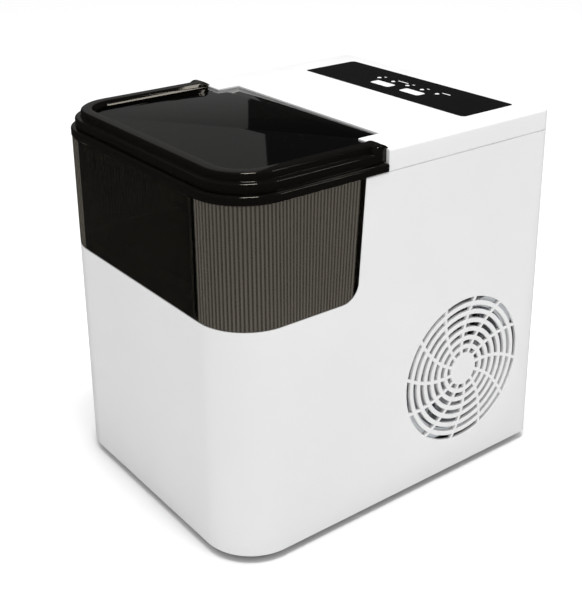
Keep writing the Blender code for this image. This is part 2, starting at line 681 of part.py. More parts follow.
# ---------------------------------------------------------------- ice chamber
def make_tank():
    tub = plan(LINER_HALF, LINER_FRONT, LINER_REAR, 26, 2)
    liner = prism("tank_liner", tub, LINER_BOTTOM, WINDOW_BOTTOM - 1, "pale_plastic")
    flange = prism("liner_flange", plan(117, -145.5, LINER_REAR, 37, 2), 181, WINDOW_BOTTOM)
    back = box("liner_back", (-LINER_HALF, -36, 180), (LINER_HALF, LINER_REAR, LINER_TOP))
    spigot = cylinder("liner_spigot", (DRAIN_X, 0, DRAIN_SPIGOT_Z), 5.0, 7, 16, axis="Y")
    join(liner, flange, back, spigot)
    inside = plan(LINER_HALF - LINER_WALL, LINER_FRONT + LINER_WALL, LINER_REAR - LINER_WALL, 24, 1)
    holes = [cylinder("tray_shaft_hole_cutter", (0, TRAY_Y, TRAY_Z), 3.5, -110, 110, axis="X")]
    for side in (-1, 1):
        place = (side * EVAPORATOR_HALF, 0, EVAPORATOR_Z)
        holes.append(cylinder(f"tube_hole_cutter_{side}", place, EVAPORATOR_TUBE + 0.4, 0, 14, axis="Y"))
    holes.append(cylinder("spout_hole_cutter", (SPOUT_X, 0, SPOUT_Z), 4.4, 0, 14, axis="Y"))
    holes.append(cylinder("drain_bore_cutter", (DRAIN_X, 0, DRAIN_SPIGOT_Z), 3.2, 0, 20, axis="Y"))
    holes.append(cylinder("pump_hole_cutter", (PUMP_X, PUMP_Y, 0), 4.4, 60, 70))
    cut(liner, prism("liner_inside_cutter", inside, LINER_BOTTOM + LINER_WALL, 300), *holes)
    join(liner, cylinder("float_stem", (FLOAT_X, FLOAT_Y, 0), STEM_RADIUS, LINER_BOTTOM + 1, 104, steps=10))

    float_profile = [(2.4, 70), (8.5, 70), (9.5, 71.5), (9.5, 80.5), (8.5, 82), (2.4, 82)]
    level_float = turned("level_float", float_profile, (FLOAT_X, FLOAT_Y, 0), "white_plastic", steps=16,
                         hollow=True)
    hang(pivot("float_travel", (FLOAT_X, FLOAT_Y, 70)), level_float)

    foam_outer = plan(116.7, -145.2, LINER_REAR, 36.7, 0, 6)
    foam_inner = plan(LINER_HALF + 0.4, LINER_FRONT - 0.4, LINER_REAR + 10, 26.4, 0, 6)
    foam = prism("foam_jacket", foam_outer, LINER_BOTTOM, FOAM_TOP, "foam")
    cut(foam, prism("foam_inside_cutter", foam_inner, 50, 200))

    wall = box("partition_wall", (-117, PARTITION_Y[0], PAN_RIM_Z + GAP), (117, PARTITION_Y[1], PARTITION_TOP),
               "zinc_sheet")
    wall_holes = [circle(side * EVAPORATOR_HALF, EVAPORATOR_Z, 4.3) for side in (-1, 1)]
    wall_holes += [circle(SPOUT_X, SPOUT_Z, 4.6), circle(DRAIN_X, DRAIN_SPIGOT_Z, 5.6)]
    wall_holes.append(rounded_box_outline((PUMP_X, 20), (12, 12), 0, 0))
    cut(wall, prisms("partition_hole_cutter", wall_holes, 0, 20, axis="Y"))


def arc_band(inner, outer, start, end, steps):
    """A band of an arc round the tray's axis, in y and z. Angles are in degrees from +Y towards +Z."""
    angles = [math.radians(start + (end - start) * k / steps) for k in range(steps + 1)]
    points = [(TRAY_Y + outer * math.cos(a), TRAY_Z + outer * math.sin(a)) for a in angles]
    return points + [(TRAY_Y + inner * math.cos(a), TRAY_Z + inner * math.sin(a)) for a in reversed(angles)]


def make_tray():
    half_disc = arc_band(0.01, TRAY_OUTER, 180, 360, 14)[:15]
    tray = prism("water_tray", half_disc, -TRAY_HALF, TRAY_HALF, "pale_plastic", "X")
    hollow = arc_band(0.01, TRAY_INNER, 180, 360, 14)[:15]
    hollow += [(TRAY_Y + TRAY_INNER, TRAY_Z + 5), (TRAY_Y - TRAY_INNER, TRAY_Z + 5)]
    cut(tray, prism("tray_hollow_cutter", hollow, -TRAY_HALF + 2, TRAY_HALF - 2, axis="X"))
    for side in (-1, 1):
        low, high = sorted((side * (TRAY_HALF - 1.8), side * STUB_END))
        stub = cylinder(f"tray_stub_{side}", (0, TRAY_Y, TRAY_Z), STUB_RADIUS, low, high, axis="X", steps=14)
        join(tray, stub)
        low, high = sorted((side * (TRAY_HALF - 1.9), side * (TRAY_HALF + 1.5)))
        join(tray, cylinder(f"tray_boss_{side}", (0, TRAY_Y, TRAY_Z), 7.0, low, high, axis="X", steps=14))
    hang(pivot("tray_tilt", (0, TRAY_Y, TRAY_Z)), tray)

    blade = prism("ice_pusher", arc_band(PUSHER_INNER, PUSHER_OUTER, 299, 303, 1), -PUSHER_HALF, PUSHER_HALF,
                  "grey_plastic", "X")
    for side in (-1, 1):
        low, high = sorted((side * (PUSHER_HALF - 3), side * PUSHER_HALF))
        arm_outline = [(TRAY_Y + r * math.cos(math.radians(a)), TRAY_Z + r * math.sin(math.radians(a)))
                       for r, a in ((5, 230), (PUSHER_OUTER, 294), (PUSHER_OUTER, 303), (5, 10))]
        arm = prism(f"pusher_arm_{side}", arm_outline, low, high, axis="X")
        hub = cylinder(f"pusher_hub_{side}", (0, TRAY_Y, TRAY_Z), 7.5, low, high, axis="X", steps=14)
        join(blade, arm, hub)
    notches = prisms("pusher_notch_cutter", [[(x - 3, -20), (x + 3, -20), (x + 3, 2), (x - 3, 2)]
                                             for x in range(-63, 64, 14)], TRAY_Z - 40, TRAY_Z - 29.5)
    bore = cylinder("pusher_bore_cutter", (0, TRAY_Y, TRAY_Z), 3.4, -100, 100, axis="X", steps=14)
    cut(blade, notches, bore)
    hang(pivot("pusher_swing", (0, TRAY_Y, TRAY_Z)), blade)

    prism("ice_chute", arc_band(CHUTE_INNER, CHUTE_INNER + 2, 222, 312, 10), -CHUTE_HALF, CHUTE_HALF,
          "grey_plastic", "X")

    motor = box("tray_gearmotor", (104.5, -36, 205), (115.5, -8, 241), "grey_plastic")
    join(motor, cylinder("gearmotor_can", (0, -17, 226), 10, 110, 117, axis="X"))


def make_evaporator():
    bend, y, z, half = 8.0, EVAPORATOR_Y, EVAPORATOR_Z, EVAPORATOR_HALF
    route = [(-half, 14, z), (-half, y + bend, z)]
    for step in range(1, 4):
        angle = math.pi / 2 * step / 4
        route.append((-half + bend * (1 - math.cos(angle)), y + bend * (1 - math.sin(angle)), z))
    route.append((-half + bend, y, z))
    route += [(-x, y_point, z) for x, y_point, _ in reversed(route)]
    evaporator = as_mesh(pipe("evaporator", route, EVAPORATOR_TUBE, "nickel"))
    start = -FINGER_PITCH * (FINGER_COUNT - 1) / 2
    tip = [(0, FINGER_BOTTOM), (FINGER_RADIUS * 0.7, FINGER_BOTTOM + 1.5), (FINGER_RADIUS, FINGER_BOTTOM + 5)]
    for number in range(FINGER_COUNT):
        finger = turned(f"finger_{number + 1}", tip + [(FINGER_RADIUS, z), (3.5, z + 2.5)],
                        (start + FINGER_PITCH * number, y, 0), steps=12)
        join(evaporator, finger)
    for name, side in (("evaporator_clamp_left", -1), ("evaporator_clamp_right", 1)):
        low, high = sorted((side * (half - 6), side * (half + 6)))
        clamp = box(name, (low, -2, z - 7), (high, LINER_REAR - LINER_WALL - GAP, z + 7), "black_plastic")
        cut(clamp, cylinder(name + "_bore_cutter", (side * half, 0, z), EVAPORATOR_TUBE + 0.35, -10, 10,
                            axis="Y"))


def make_basket():
    basket = prism("ice_basket", plan(BASKET_HALF, BASKET_FRONT, BASKET_REAR, 22, 3, 6), BASKET_BOTTOM,
                   BASKET_TOP, "pale_plastic")
    rim = prism("basket_rim", plan(BASKET_HALF + BASKET_LIP, BASKET_FRONT - 7, BASKET_REAR, 30, 3, 6),
                WINDOW_BOTTOM + GAP, WINDOW_BOTTOM + GAP + 2)
    inside = plan(BASKET_HALF - 2, BASKET_FRONT + 2, BASKET_REAR - 2, 20, 1, 6)
    join(basket, rim)
    slots = [rounded_box_outline((-72 + 16 * k, -92), (5, 46), 0, 0) for k in range(10)]
    front_slots = [rounded_box_outline((-60 + 20 * k, 134), (6, 26), 0, 0) for k in range(7)]
    cut(basket, prism("basket_inside_cutter", inside, BASKET_BOTTOM + 2, 300),
        prisms("basket_floor_cutter", slots, 100, 120),
        prisms("basket_front_cutter", front_slots, BASKET_FRONT - 5, BASKET_FRONT + 8, axis="Y"))
    hang(pivot("basket_lift", (0, (BASKET_FRONT + BASKET_REAR) / 2, BASKET_BOTTOM)), basket)

    for name, side in (("ice_sensor_emitter", -1), ("ice_sensor_receiver", 1)):
        low, high = sorted((side * 98, side * CHUTE_HALF))
        sensor = box(name, (low, SENSOR_Y - 4, SENSOR_Z - 4), (high, SENSOR_Y + 4, SENSOR_Z + 4),
                     "black_plastic")
        tip_low, tip_high = sorted((side * 96, side * 99))
        lens = cylinder(name + "_lens", (0, SENSOR_Y, SENSOR_Z), 2.0, tip_low, tip_high, axis="X", steps=12)
        join(sensor, lens)


# ---------------------------------------------------------------- cooling system
def make_compressor():
    x, y = COMPRESSOR_X, COMPRESSOR_Y
    can = [(0, 26), (36, 26), (43, 32), (46, 40), (46, 84), (47.5, 86), (47.5, 90), (46, 92), (46, 128),
           (42, 139), (32, 146), (16, 150), (0, 151)]
    compressor = turned("compressor", can, (x, y, 0), "black_paint", steps=28)
    plate = round_corners([(x + 78 * math.cos(math.radians(a)), y + 78 * math.sin(math.radians(a)), 14)
                           for a in COMPRESSOR_FEET], 3)
    plate = [(a, max(b, 24.0)) for a, b in plate]
    join(compressor, prism("compressor_legs", plate, 24, 27))
    for number, angle in enumerate(COMPRESSOR_FEET, 1):
        reach = COMPRESSOR_FOOT_REACH[angle]
        spot = (x + reach * math.cos(math.radians(angle)), y + reach * math.sin(math.radians(angle)), 0)
        grommet = [(9, 10.6), (9, 14), (6.5, 16), (6.5, 19), (9, 21), (9, 23.7)]
        turned(f"compressor_grommet_{number}", grommet, spot, "rubber", steps=12)
    stubs = prisms("compressor_stubs", [circle(x + 20, y - 20, 3.4), circle(x - 22, y - 16, 4.4)], 130, 158)
    join(compressor, stubs)
    cover = box("terminal_cover", (x - 18, y + 46.8, 70), (x + 18, y + 63, 112), "black_plastic")
    cut(cover, turned("terminal_cutter", [(48, 60), (48, 120)], (x, y, 0), steps=28))


def make_condenser():
    (left, right), (front, rear), (bottom, top) = CONDENSER_X, CONDENSER_Y, CONDENSER_Z
    condenser = box("condenser", (left, front, bottom), (right, rear, top), "aluminium")
    gaps = []
    for number in range(FIN_COUNT):
        low = front + FIN_GAP + FIN_PITCH * number
        gaps.append([(low, bottom + 4), (low + FIN_GAP, bottom + 4), (low + FIN_GAP, top - 4), (low, top - 4)])
    cut(condenser, prisms("fin_front_cutter", gaps, 76, 90, axis="X"),
        prisms("fin_back_cutter", gaps, 55, 72, axis="X"))
    join(condenser, box("end_plate_front", (left - 2, front - 1, 10.6), (right + 2, front + 1, top + 2)),
         box("end_plate_rear", (left - 2, rear - 1, 10.6), (right + 2, rear + 1, top + 2)))


def make_fan():
    frame = prism("fan_frame", rounded_box_outline((GRILLE_Y, GRILLE_Z), (108, 108), 8), FAN_FRONT - FAN_DEPTH,
                  FAN_FRONT, "pale_plastic", "X")
    bore = cylinder("fan_bore_cutter", (0, GRILLE_Y, GRILLE_Z), FAN_RADIUS + 2, FAN_FRONT - 22.5, FAN_FRONT + 5,
                    axis="X", steps=36)
    windows = []
    for quarter in range(4):
        edge = []
        for radius, order in ((FAN_RADIUS, range(7)), (19, range(6, -1, -1))):
            for step in order:
                angle = math.radians(90 * quarter + 6 + 78 * step / 6)
                edge.append((GRILLE_Y + radius * math.cos(angle), GRILLE_Z + radius * math.sin(angle)))
        windows.append(edge)
    cut(frame, bore, prisms("fan_window_cutter", windows, FAN_FRONT - 30, FAN_FRONT - 20, axis="X"))

    back = FAN_FRONT - 20.5
    hub = [(16, back), (HUB_RADIUS, back + 1.5), (HUB_RADIUS, back + 16.5), (16.5, back + 18.5),
           (0, back + 18.5)]
    rotor = turned("fan_rotor", hub, (0, GRILLE_Y, GRILLE_Z), "pale_plastic", "X", 24)
    points, faces = [], []
    root = HUB_RADIUS - 1.5
    radii = [root + (FAN_RADIUS - root) * k / 3 for k in range(4)]
    for blade in range(BLADE_COUNT):
        base = len(points)
        for radius in radii:
            along_blade = (radius - root) / (FAN_RADIUS - root)
            pitch = math.radians(52 - 22 * along_blade)
            lean = 2 * math.pi * blade / BLADE_COUNT + 0.25 * along_blade
            for chord, side in ((-8, -0.7), (0, -0.9), (8, -0.7), (8, 0.7), (0, 1.1), (-8, 0.7)):
                depth = back + 9.5 + chord * math.cos(pitch) - side * math.sin(pitch)
                sideways = (chord * math.sin(pitch) + side * math.cos(pitch)) * radius / 30
                angle = lean + sideways / radius
                points.append((depth, GRILLE_Y + radius * math.cos(angle), GRILLE_Z + radius * math.sin(angle)))
        faces += [tuple(range(base, base + 6)), tuple(range(base + 18, base + 24))]
        for row in range(3):
            for k in range(6):
                a, b = base + 6 * row + k, base + 6 * row + (k + 1) % 6
                faces.append((a, b, b + 6, a + 6))
    join(rotor, add_mesh("fan_blades", points, faces))
    hang(pivot("fan_spin", (back + 9.5, GRILLE_Y, GRILLE_Z)), rotor)


def make_refrigerant_lines():
    turned("filter_drier", [(2.6, 52), (2.6, 58), (9, 64), (9, 124), (2.6, 130), (2.6, 138)], (45, 131, 0),
           "copper", steps=16)
    valve = cylinder("hot_gas_valve", (24, 34, 0), 5, 170, 200, "nickel")
    join(valve, box("valve_coil", (12, 24, 180), (36, 44, 198)))
    stub_x, stub_y = COMPRESSOR_X + 20, COMPRESSOR_Y - 20
    pipe("discharge_line", smooth_route([(stub_x, stub_y, 158.3), (stub_x, stub_y, 163), (-28, 54, 172),
                                         (-12, 46, 172), (6, 38, 158), (18, 34, 152), (24, 34, 158),
                                         (24, 34, 164), (24, 34, 169.7)]), 2.8, "copper")
    pipe("condenser_line", smooth_route([(24, 34, 200.3), (24, 34, 204), (27, 33, 212), (42, 31, 214),
                                         (60, 28, 202), (71, 26, 182), (74, 26, 166), (74, 26, 158),
                                         (74, 26, 150.3)]), 2.8, "copper")
    pipe("liquid_line", smooth_route([(74, 119.3, 60), (74, 123, 60), (73, 128, 57), (65, 131, 49),
                                      (54, 131, 40), (46, 131, 40), (45, 131, 46), (45, 131, 51.7)]),
         2.2, "copper")
    pipe("capillary_tube", smooth_route([(45, 131, 138.3), (45, 131, 144), (46, 130, 160), (60, 118, 190),
                                         (84, 80, 222), (94, 44, 235), (95, 24, 236), (95, 18, 236),
                                         (95, 14.3, 236)]), 1.4, "copper")
    low_x, low_y = COMPRESSOR_X - 22, COMPRESSOR_Y - 16
    pipe("suction_line", smooth_route([(-95, 14.3, 236), (-95, 18, 236), (-96, 26, 232), (-99, 30, 218),
                                       (-100, 31, 196), (-97, 38, 178), (-86, 50, 172), (-77, 58, 172),
                                       (low_x, low_y, 168), (low_x, low_y, 163), (low_x, low_y, 158.3)]),
         3.4, "copper")


# ---------------------------------------------------------------- water system and electrics
def make_water_system():
    pump = turned("water_pump", [(16, 10.6), (18, 12.6), (18, 36), (14, 40), (14, 52), (4, 54), (4, 65.7)],
                  (PUMP_X, PUMP_Y, 0), "black_plastic", steps=20)
    join(pump, cylinder("pump_outlet", (PUMP_X, 0, 18.5), 3.6, PUMP_Y, PUMP_Y + 24, axis="Y", steps=12))
    pipe("pump_hose", smooth_route([(PUMP_X, PUMP_Y + 24.3, 18.5), (PUMP_X, PUMP_Y + 30, 18.5),
                                    (PUMP_X, -12, 18.5), (PUMP_X, 8, 18.5), (-57, 18, 24), (-50, 22, 46),
                                    (-38, 21, 90), (-28, 20.5, 130), (-12, 20.5, 180), (12, 22, 224),
                                    (30, 25, 241), (39, 22, 245), (SPOUT_X, 17, SPOUT_Z), (SPOUT_X, 12.4, SPOUT_Z)]),
         4.0, "silicone")
    spout = [(2.6, -3), (4, -2), (4, 12), (2.6, 12)]
    turned("fill_spout", spout, (SPOUT_X, 0, SPOUT_Z), "grey_plastic", "Y", 14, hollow=True)
    pipe("drain_tube", smooth_route([(DRAIN_X, 16.4, 76), (DRAIN_X, 24, 76), (DRAIN_X, 44, 72),
                                     (DRAIN_X, 80, 54), (DRAIN_X, 108, 45), (DRAIN_X, 124, DRAIN_Z),
                                     (DRAIN_X, 129.7, DRAIN_Z)]), 5.0, "silicone")
    turned("drain_socket", [(5.6, 130), (10, 130), (10, 141.5), (8, 141.5), (8, 132), (5.6, 132)],
           (DRAIN_X, 0, DRAIN_Z), "black_plastic", "Y", 20, hollow=True)
    plug = turned("drain_plug", [(4.8, 133), (4.8, 142), (9.3, 142), (9.3, 147.4), (8.3, 148.4), (0, 148.4)],
                  (DRAIN_X, 0, DRAIN_Z), "grey_plastic", "Y", 20)
    grip = prisms("plug_grip_cutter", [rounded_box_outline((DRAIN_X + 5.0 * side, DRAIN_Z), (4.4, 9), 1.2, 1)
                                       for side in (-1, 1)], 144.5, 152, axis="Y")
    cut(plug, grip)
    seal = turned("drain_seal", [(5.1, 135), (6.4, 134), (7.7, 135), (7.7, 137), (6.4, 138), (5.1, 137)],
                  (DRAIN_X, 0, DRAIN_Z), "rubber", "Y", 20, hollow=True)
    hang(pivot("drain_plug_travel", (DRAIN_X, 140, DRAIN_Z)), plug, seal)


def make_electrics():
    tray = box("board_tray", (-104, 40, 190), (-6, 114, 206), "black_plastic")
    cut(tray, box("board_tray_cutter", (-102, 42, 192), (-8, 112, 230)))
    board = box("main_board", (-98, 46, 194), (-12, 108, 195.6), "circuit_board")
    join(board, box("relay", (-90, 52, 195), (-72, 66, 211)),
         box("transformer", (-60, 50, 195), (-34, 78, 219)),
         cylinder("capacitor", (-80, 90, 0), 8, 195, 217),
         box("connector_row", (-52, 96, 195), (-16, 103, 204)))
    inlet = prism("power_inlet", rounded_box_outline((INLET_X, INLET_Z), INLET_SIZE, 4, 2), 126,
                  REAR_Y + COLLAR_PROUD, "black_plastic", "Y")
    flange = prism("inlet_flange", rounded_box_outline((INLET_X, INLET_Z), (32, 26), 4, 2), 143, REAR_STEP_Y,
                   axis="Y")
    socket = prism("inlet_socket_cutter", rounded_box_outline((INLET_X, INLET_Z), (18, 10), 4.8, 3), 134,
                   REAR_BEYOND, axis="Y")
    join(inlet, flange)
    cut(inlet, socket)
    join(inlet, prisms("inlet_pins", [circle(INLET_X + 4.3 * side, INLET_Z, 1.2, 8) for side in (-1, 1)], 133,
                       146, axis="Y"))


make_side_shell()
make_rear_panel()
make_top_cover()
make_control_panel()
make_base()
make_window()
make_lid()
make_tank()
make_tray()
make_evaporator()
make_basket()
make_compressor()
make_condenser()
make_fan()
make_refrigerant_lines()
make_water_system()
make_electrics()
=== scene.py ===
"""Looks for the countertop ice maker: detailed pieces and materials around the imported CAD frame.

Positions and sizes are in millimetres, in the frame of the CAD model: +Z up, the front towards -Y,
the fan grille towards +X. The mesh helpers turn them into Blender's metres.
"""

import json
import math

import bmesh
import bpy
from mathutils import Matrix, Vector


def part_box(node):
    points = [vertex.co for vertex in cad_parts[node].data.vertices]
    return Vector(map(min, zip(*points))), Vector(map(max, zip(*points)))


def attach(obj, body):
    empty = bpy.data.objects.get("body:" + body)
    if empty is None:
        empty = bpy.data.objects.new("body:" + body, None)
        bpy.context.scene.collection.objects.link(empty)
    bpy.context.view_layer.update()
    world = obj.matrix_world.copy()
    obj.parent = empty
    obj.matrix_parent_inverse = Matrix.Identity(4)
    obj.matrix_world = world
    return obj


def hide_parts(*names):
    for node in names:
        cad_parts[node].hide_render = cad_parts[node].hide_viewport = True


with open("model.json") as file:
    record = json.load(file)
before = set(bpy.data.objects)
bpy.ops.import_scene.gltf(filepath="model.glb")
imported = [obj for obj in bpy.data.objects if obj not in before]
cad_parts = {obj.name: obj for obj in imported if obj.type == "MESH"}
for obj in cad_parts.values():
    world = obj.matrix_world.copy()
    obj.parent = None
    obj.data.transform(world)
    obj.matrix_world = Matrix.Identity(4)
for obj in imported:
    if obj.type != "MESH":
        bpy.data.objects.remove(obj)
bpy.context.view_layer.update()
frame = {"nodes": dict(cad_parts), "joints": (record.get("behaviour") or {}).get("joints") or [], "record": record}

MM = 0.001
SMOOTH_ANGLE = 32.0  # faces that meet at less than this, in degrees, shade as one


def node_box(node):
    """A CAD node's lowest and highest corners, in millimetres."""
    low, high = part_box(node)
    return low / MM, high / MM


def node_centre(node, axes):
    """The middle of a CAD node's box along the named axes, in millimetres."""
    low, high = node_box(node)
    return tuple((getattr(low, axis) + getattr(high, axis)) / 2 for axis in axes)


# ---------------------------------------------------------------- sizes read from the frame
shell_low, shell_high = node_box("side_shell")
window_low, window_high = node_box("viewing_window")
lid_low, lid_high = node_box("lid")
cover_low, cover_high = node_box("top_cover")
glass_low, glass_high = node_box("control_glass")
basket_low, basket_high = node_box("ice_basket")
panel_low, panel_high = node_box("rear_panel")
joints = {joint["name"]: joint for joint in frame["joints"]}


def joint_centre(name):
    """A joint's centre, in millimetres."""
    return Vector(joints[name]["pos_m"]) / MM


HALF_WIDTH = shell_high.x
FRONT_Y = shell_low.y
REAR_Y = shell_high.y
SHELL_BOTTOM = shell_low.z
SHELL_TOP = shell_high.z
TOP_Z = cover_high.z
WALL = 2.5
FRONT_CORNER = 40.0
REAR_CORNER = 8.0
GAP = 0.3
BEYOND = 130.0  # a distance from the middle that lies outside every part, for cutters
SIDE_CUT_DEPTH = 110.0  # how near to the middle the side walls' cutters reach
LOUVRE_HEIGHT = 5
LOUVRE_ROUNDING = 2.45
INTAKE_SLOTS = 9
INTAKE_PITCH = 12
LOUVRE_ROWS = 8
LOUVRE_PITCH = 13

WINDOW_BOTTOM = window_low.z
SEAM_Z = SHELL_TOP + GAP
COLLAR_TOP = 277.4
COLLAR_REAR = window_high.y
COLLAR_PROUD = window_high.x - HALF_WIDTH
WINDOW_REAR_TOP = -37.3
WINDOW_REAR_SLOPE = 0.072
WINDOW_REAR_RADIUS = 14.0
RIB_PITCH = 2.8
RIB_DEPTH = 0.5
RIB_STEPS = 8
SMOOTH_BORDER = 4.6
WINDOW_ROWS = (0, 0.008, 0.02, 0.25, 0.5, 0.75, 0.985, 0.995, 1)  # heights of its rows of points, as shares
RIB_FADE_BOTTOM = 0.02  # shares of the height over which the ribs fade out
RIB_FADE_TOP = 0.015
WINDOW_EDGE = 0.35
LEDGE_WIDTH = 12.5

hinge = joint_centre("lid_hinge")
EAR_RADIUS = lid_high.z - hinge.z
EAR_RELIEF = EAR_RADIUS + 1.0
RIM_REAR = -19.0
PIN_RADIUS = 1.6
PIN_END = 114.0
LUG_INNER = 105.3
LUG_OUTER = 108.3
LUG_RADIUS = 3.6
LID_HALF = lid_high.x
LID_FRONT = lid_low.y
LID_REAR = lid_high.y
LID_CORNER = 37.0
LID_BOTTOM = lid_low.z
LID_TOP = lid_high.z
LID_STEP_Z = 284.8
STEP_INSET = 4.5
RIM_WIDTH = 10.0
LID_WALL = 2.5
PLATE_TOP = 286.5
PLATE_REAR = -14.2
TONGUE_HALF = 86.6

COVER_FRONT = cover_low.y
COVER_NOTCH_HALF = 87.2
COVER_NOTCH_FRONT = 2.6
INNER_EDGE = 0.15  # how much of the outer edges' rounding the edges beside the lid have

fan_centre = joint_centre("fan_spin")
GRILLE_RINGS = 7
GRILLE_SPOKES = 12
GRILLE_OUTER = 58.1
GRILLE_PITCH = 7.14
GRILLE_SLOT = 3.5
SPOKE_WIDTH = 2.7
SPOKE_START = 16.2
SPOKE_TWIST = -25.0

BUTTON_SIZE = (22.0, 9.5)
LIGHT_PITCH = 17.25
LIGHT_RADIUS = 1.9
PANEL_CORNER = 3.5
MARK_LENGTHS = (2.6, 12.0, 2.6, 2.6, 9.0)

FOOT_PROFILE = [(0.2, 0.9), (5.5, 0.9), (6.2, 0.0), (8.4, 0.0), (9.4, 0.5), (10.0, 1.6), (10.0, 6.4),
                (9.6, 7.4), (9.0, 8.0), (0.2, 8.0)]  # radius and height
FINGER_COUNT = 9
FINGER_PITCH = 16.0
SMOKE_IOR = 1.49
SMOKE_REFLECTION = (1.0, 0.93, 0.8, 1.0)


# ---------------------------------------------------------------- materials
def new_material(name):
    """A Principled material, with its node tree, its shader and its texture coordinates."""
    made = bpy.data.materials.new(name)
    made.use_nodes = True
    nodes = made.node_tree.nodes
    shader = nodes["Principled BSDF"]
    place = nodes.new("ShaderNodeTexCoord").outputs["Object"]
    return made, made.node_tree, shader, place


def add_noise(tree, place, scale, detail=4.0, stretch=(1, 1, 1)):
    """Noise in object space. The scale is in features for each metre."""
    mapping = tree.nodes.new("ShaderNodeMapping")
    mapping.inputs["Scale"].default_value = stretch
    noise = tree.nodes.new("ShaderNodeTexNoise")
    noise.inputs["Scale"].default_value = scale
    noise.inputs["Detail"].default_value = detail
    tree.links.new(place, mapping.inputs["Vector"])
    tree.links.new(mapping.outputs["Vector"], noise.inputs["Vector"])
    return noise.outputs["Fac"]


def add_ramp(tree, factor, stops):
    """A colour ramp. Each stop is a position and a colour, or a position and a grey."""
    ramp = tree.nodes.new("ShaderNodeValToRGB")
    elements = ramp.color_ramp.elements
    while len(elements) < len(stops):
        elements.new(0.5)
    for element, (position, value) in zip(elements, stops):
        element.position = position
        element.color = (value, value, value, 1) if isinstance(value, float) else (*value, 1)
    tree.links.new(factor, ramp.inputs["Fac"])
    return ramp.outputs["Color"]


def add_bump(tree, height, strength, distance):
    """A bump from a height in the range 0 to 1. The distance is in metres."""
    bump = tree.nodes.new("ShaderNodeBump")
    bump.inputs["Strength"].default_value = strength
    bump.inputs["Distance"].default_value = distance
    tree.links.new(height, bump.inputs["Height"])
    return bump.outputs["Normal"]


def shade(colour, factor):
    """A colour made lighter or darker."""
    return tuple(min(channel * factor, 1.0) for channel in colour)


def moulded_plastic(name, colour, roughness, grain=2200.0, grain_depth=0.00002, mottle=0.04, specular=0.5):
    """Moulded plastic: a fine spark-eroded grain, slow colour changes and slightly uneven gloss."""
    made, tree, shader, place = new_material(name)
    slow = add_noise(tree, place, 18.0, 3.0)
    tint = add_ramp(tree, slow, [(0.3, shade(colour, 1 - mottle)), (0.7, shade(colour, 1 + mottle * 0.5))])
    tree.links.new(tint, shader.inputs["Base Color"])
    uneven = add_ramp(tree, add_noise(tree, place, 60.0, 5.0),
                      [(0.3, roughness * 0.9), (0.7, min(roughness * 1.1, 1.0))])
    tree.links.new(uneven, shader.inputs["Roughness"])
    fine = add_noise(tree, place, grain, 2.0)
    tree.links.new(add_bump(tree, fine, 0.35, grain_depth), shader.inputs["Normal"])
    shader.inputs["Specular IOR Level"].default_value = specular
    return made


def smoked_plastic(name, colour, roughness, clearness=1.0, flow=0.000003):
    """Clear plastic with a smoky tint, faint flow waves from moulding and a polished face."""
    made, tree, shader, place = new_material(name)
    streaks = add_noise(tree, place, 9.0, 3.0, (1.0, 1.0, 0.35))
    tint = add_ramp(tree, streaks, [(0.3, shade(colour, 0.9)), (0.7, shade(colour, 1.08))])
    tree.links.new(tint, shader.inputs["Base Color"])
    gloss = add_ramp(tree, add_noise(tree, place, 90.0, 4.0),
                     [(0.35, roughness * 0.7), (0.7, roughness * 1.4)])
    tree.links.new(gloss, shader.inputs["Roughness"])
    waves = add_noise(tree, place, 26.0, 2.0)
    tree.links.new(add_bump(tree, waves, 0.2, flow), shader.inputs["Normal"])
    shader.inputs["Transmission Weight"].default_value = clearness
    shader.inputs["IOR"].default_value = SMOKE_IOR
    shader.inputs["Specular Tint"].default_value = SMOKE_REFLECTION
    return made


def metal(name, colour, roughness, stretch=(1, 1, 1), scale=900.0, depth=0.00001):
    """Bare metal with fine drawing lines or a light grain, and patches of duller surface."""
    made, tree, shader, place = new_material(name)
    lines = add_noise(tree, place, scale, 3.0, stretch)
    patches = add_noise(tree, place, 40.0, 4.0)
    tint = add_ramp(tree, patches, [(0.3, shade(colour, 0.82)), (0.72, colour)])
    tree.links.new(tint, shader.inputs["Base Color"])
    dull = add_ramp(tree, patches, [(0.3, min(roughness * 1.35, 1.0)), (0.75, roughness * 0.8)])
    tree.links.new(dull, shader.inputs["Roughness"])
    tree.links.new(add_bump(tree, lines, 0.4, depth), shader.inputs["Normal"])
    shader.inputs["Metallic"].default_value = 1.0
    return made


def circuit_board(name):
    """Green solder mask with copper tracks faintly showing through."""
    made, tree, shader, place = new_material(name)
    bricks = tree.nodes.new("ShaderNodeTexBrick")
    bricks.inputs["Scale"].default_value = 90.0
    bricks.inputs["Mortar Size"].default_value = 0.03
    bricks.inputs["Color1"].default_value = (0.012, 0.11, 0.045, 1)
    bricks.inputs["Color2"].default_value = (0.016, 0.15, 0.06, 1)
    bricks.inputs["Mortar"].default_value = (0.05, 0.24, 0.1, 1)
    tree.links.new(place, bricks.inputs["Vector"])
    tree.links.new(bricks.outputs["Color"], shader.inputs["Base Color"])
    tree.links.new(add_bump(tree, bricks.outputs["Fac"], 0.3, 0.00003), shader.inputs["Normal"])
    shader.inputs["Roughness"].default_value = 0.4
    return made


def foam(name):
    """Cut foam: open cells over a pale body, with painted shade darkening the hollow of each cell."""
    made, tree, shader, place = new_material(name)
    cells = tree.nodes.new("ShaderNodeTexVoronoi")
    cells.inputs["Scale"].default_value = 700.0
    tree.links.new(place, cells.inputs["Vector"])
    # The ramp darkens each cell's middle, where the bump sinks it: painted shade in the pores.
    tint = add_ramp(tree, cells.outputs["Distance"],
                    [(0.0, (0.62, 0.61, 0.55)), (0.6, (0.86, 0.85, 0.8))])
    tree.links.new(tint, shader.inputs["Base Color"])
    tree.links.new(add_bump(tree, cells.outputs["Distance"], 0.8, 0.0002), shader.inputs["Normal"])
    shader.inputs["Roughness"].default_value = 0.95
    return made


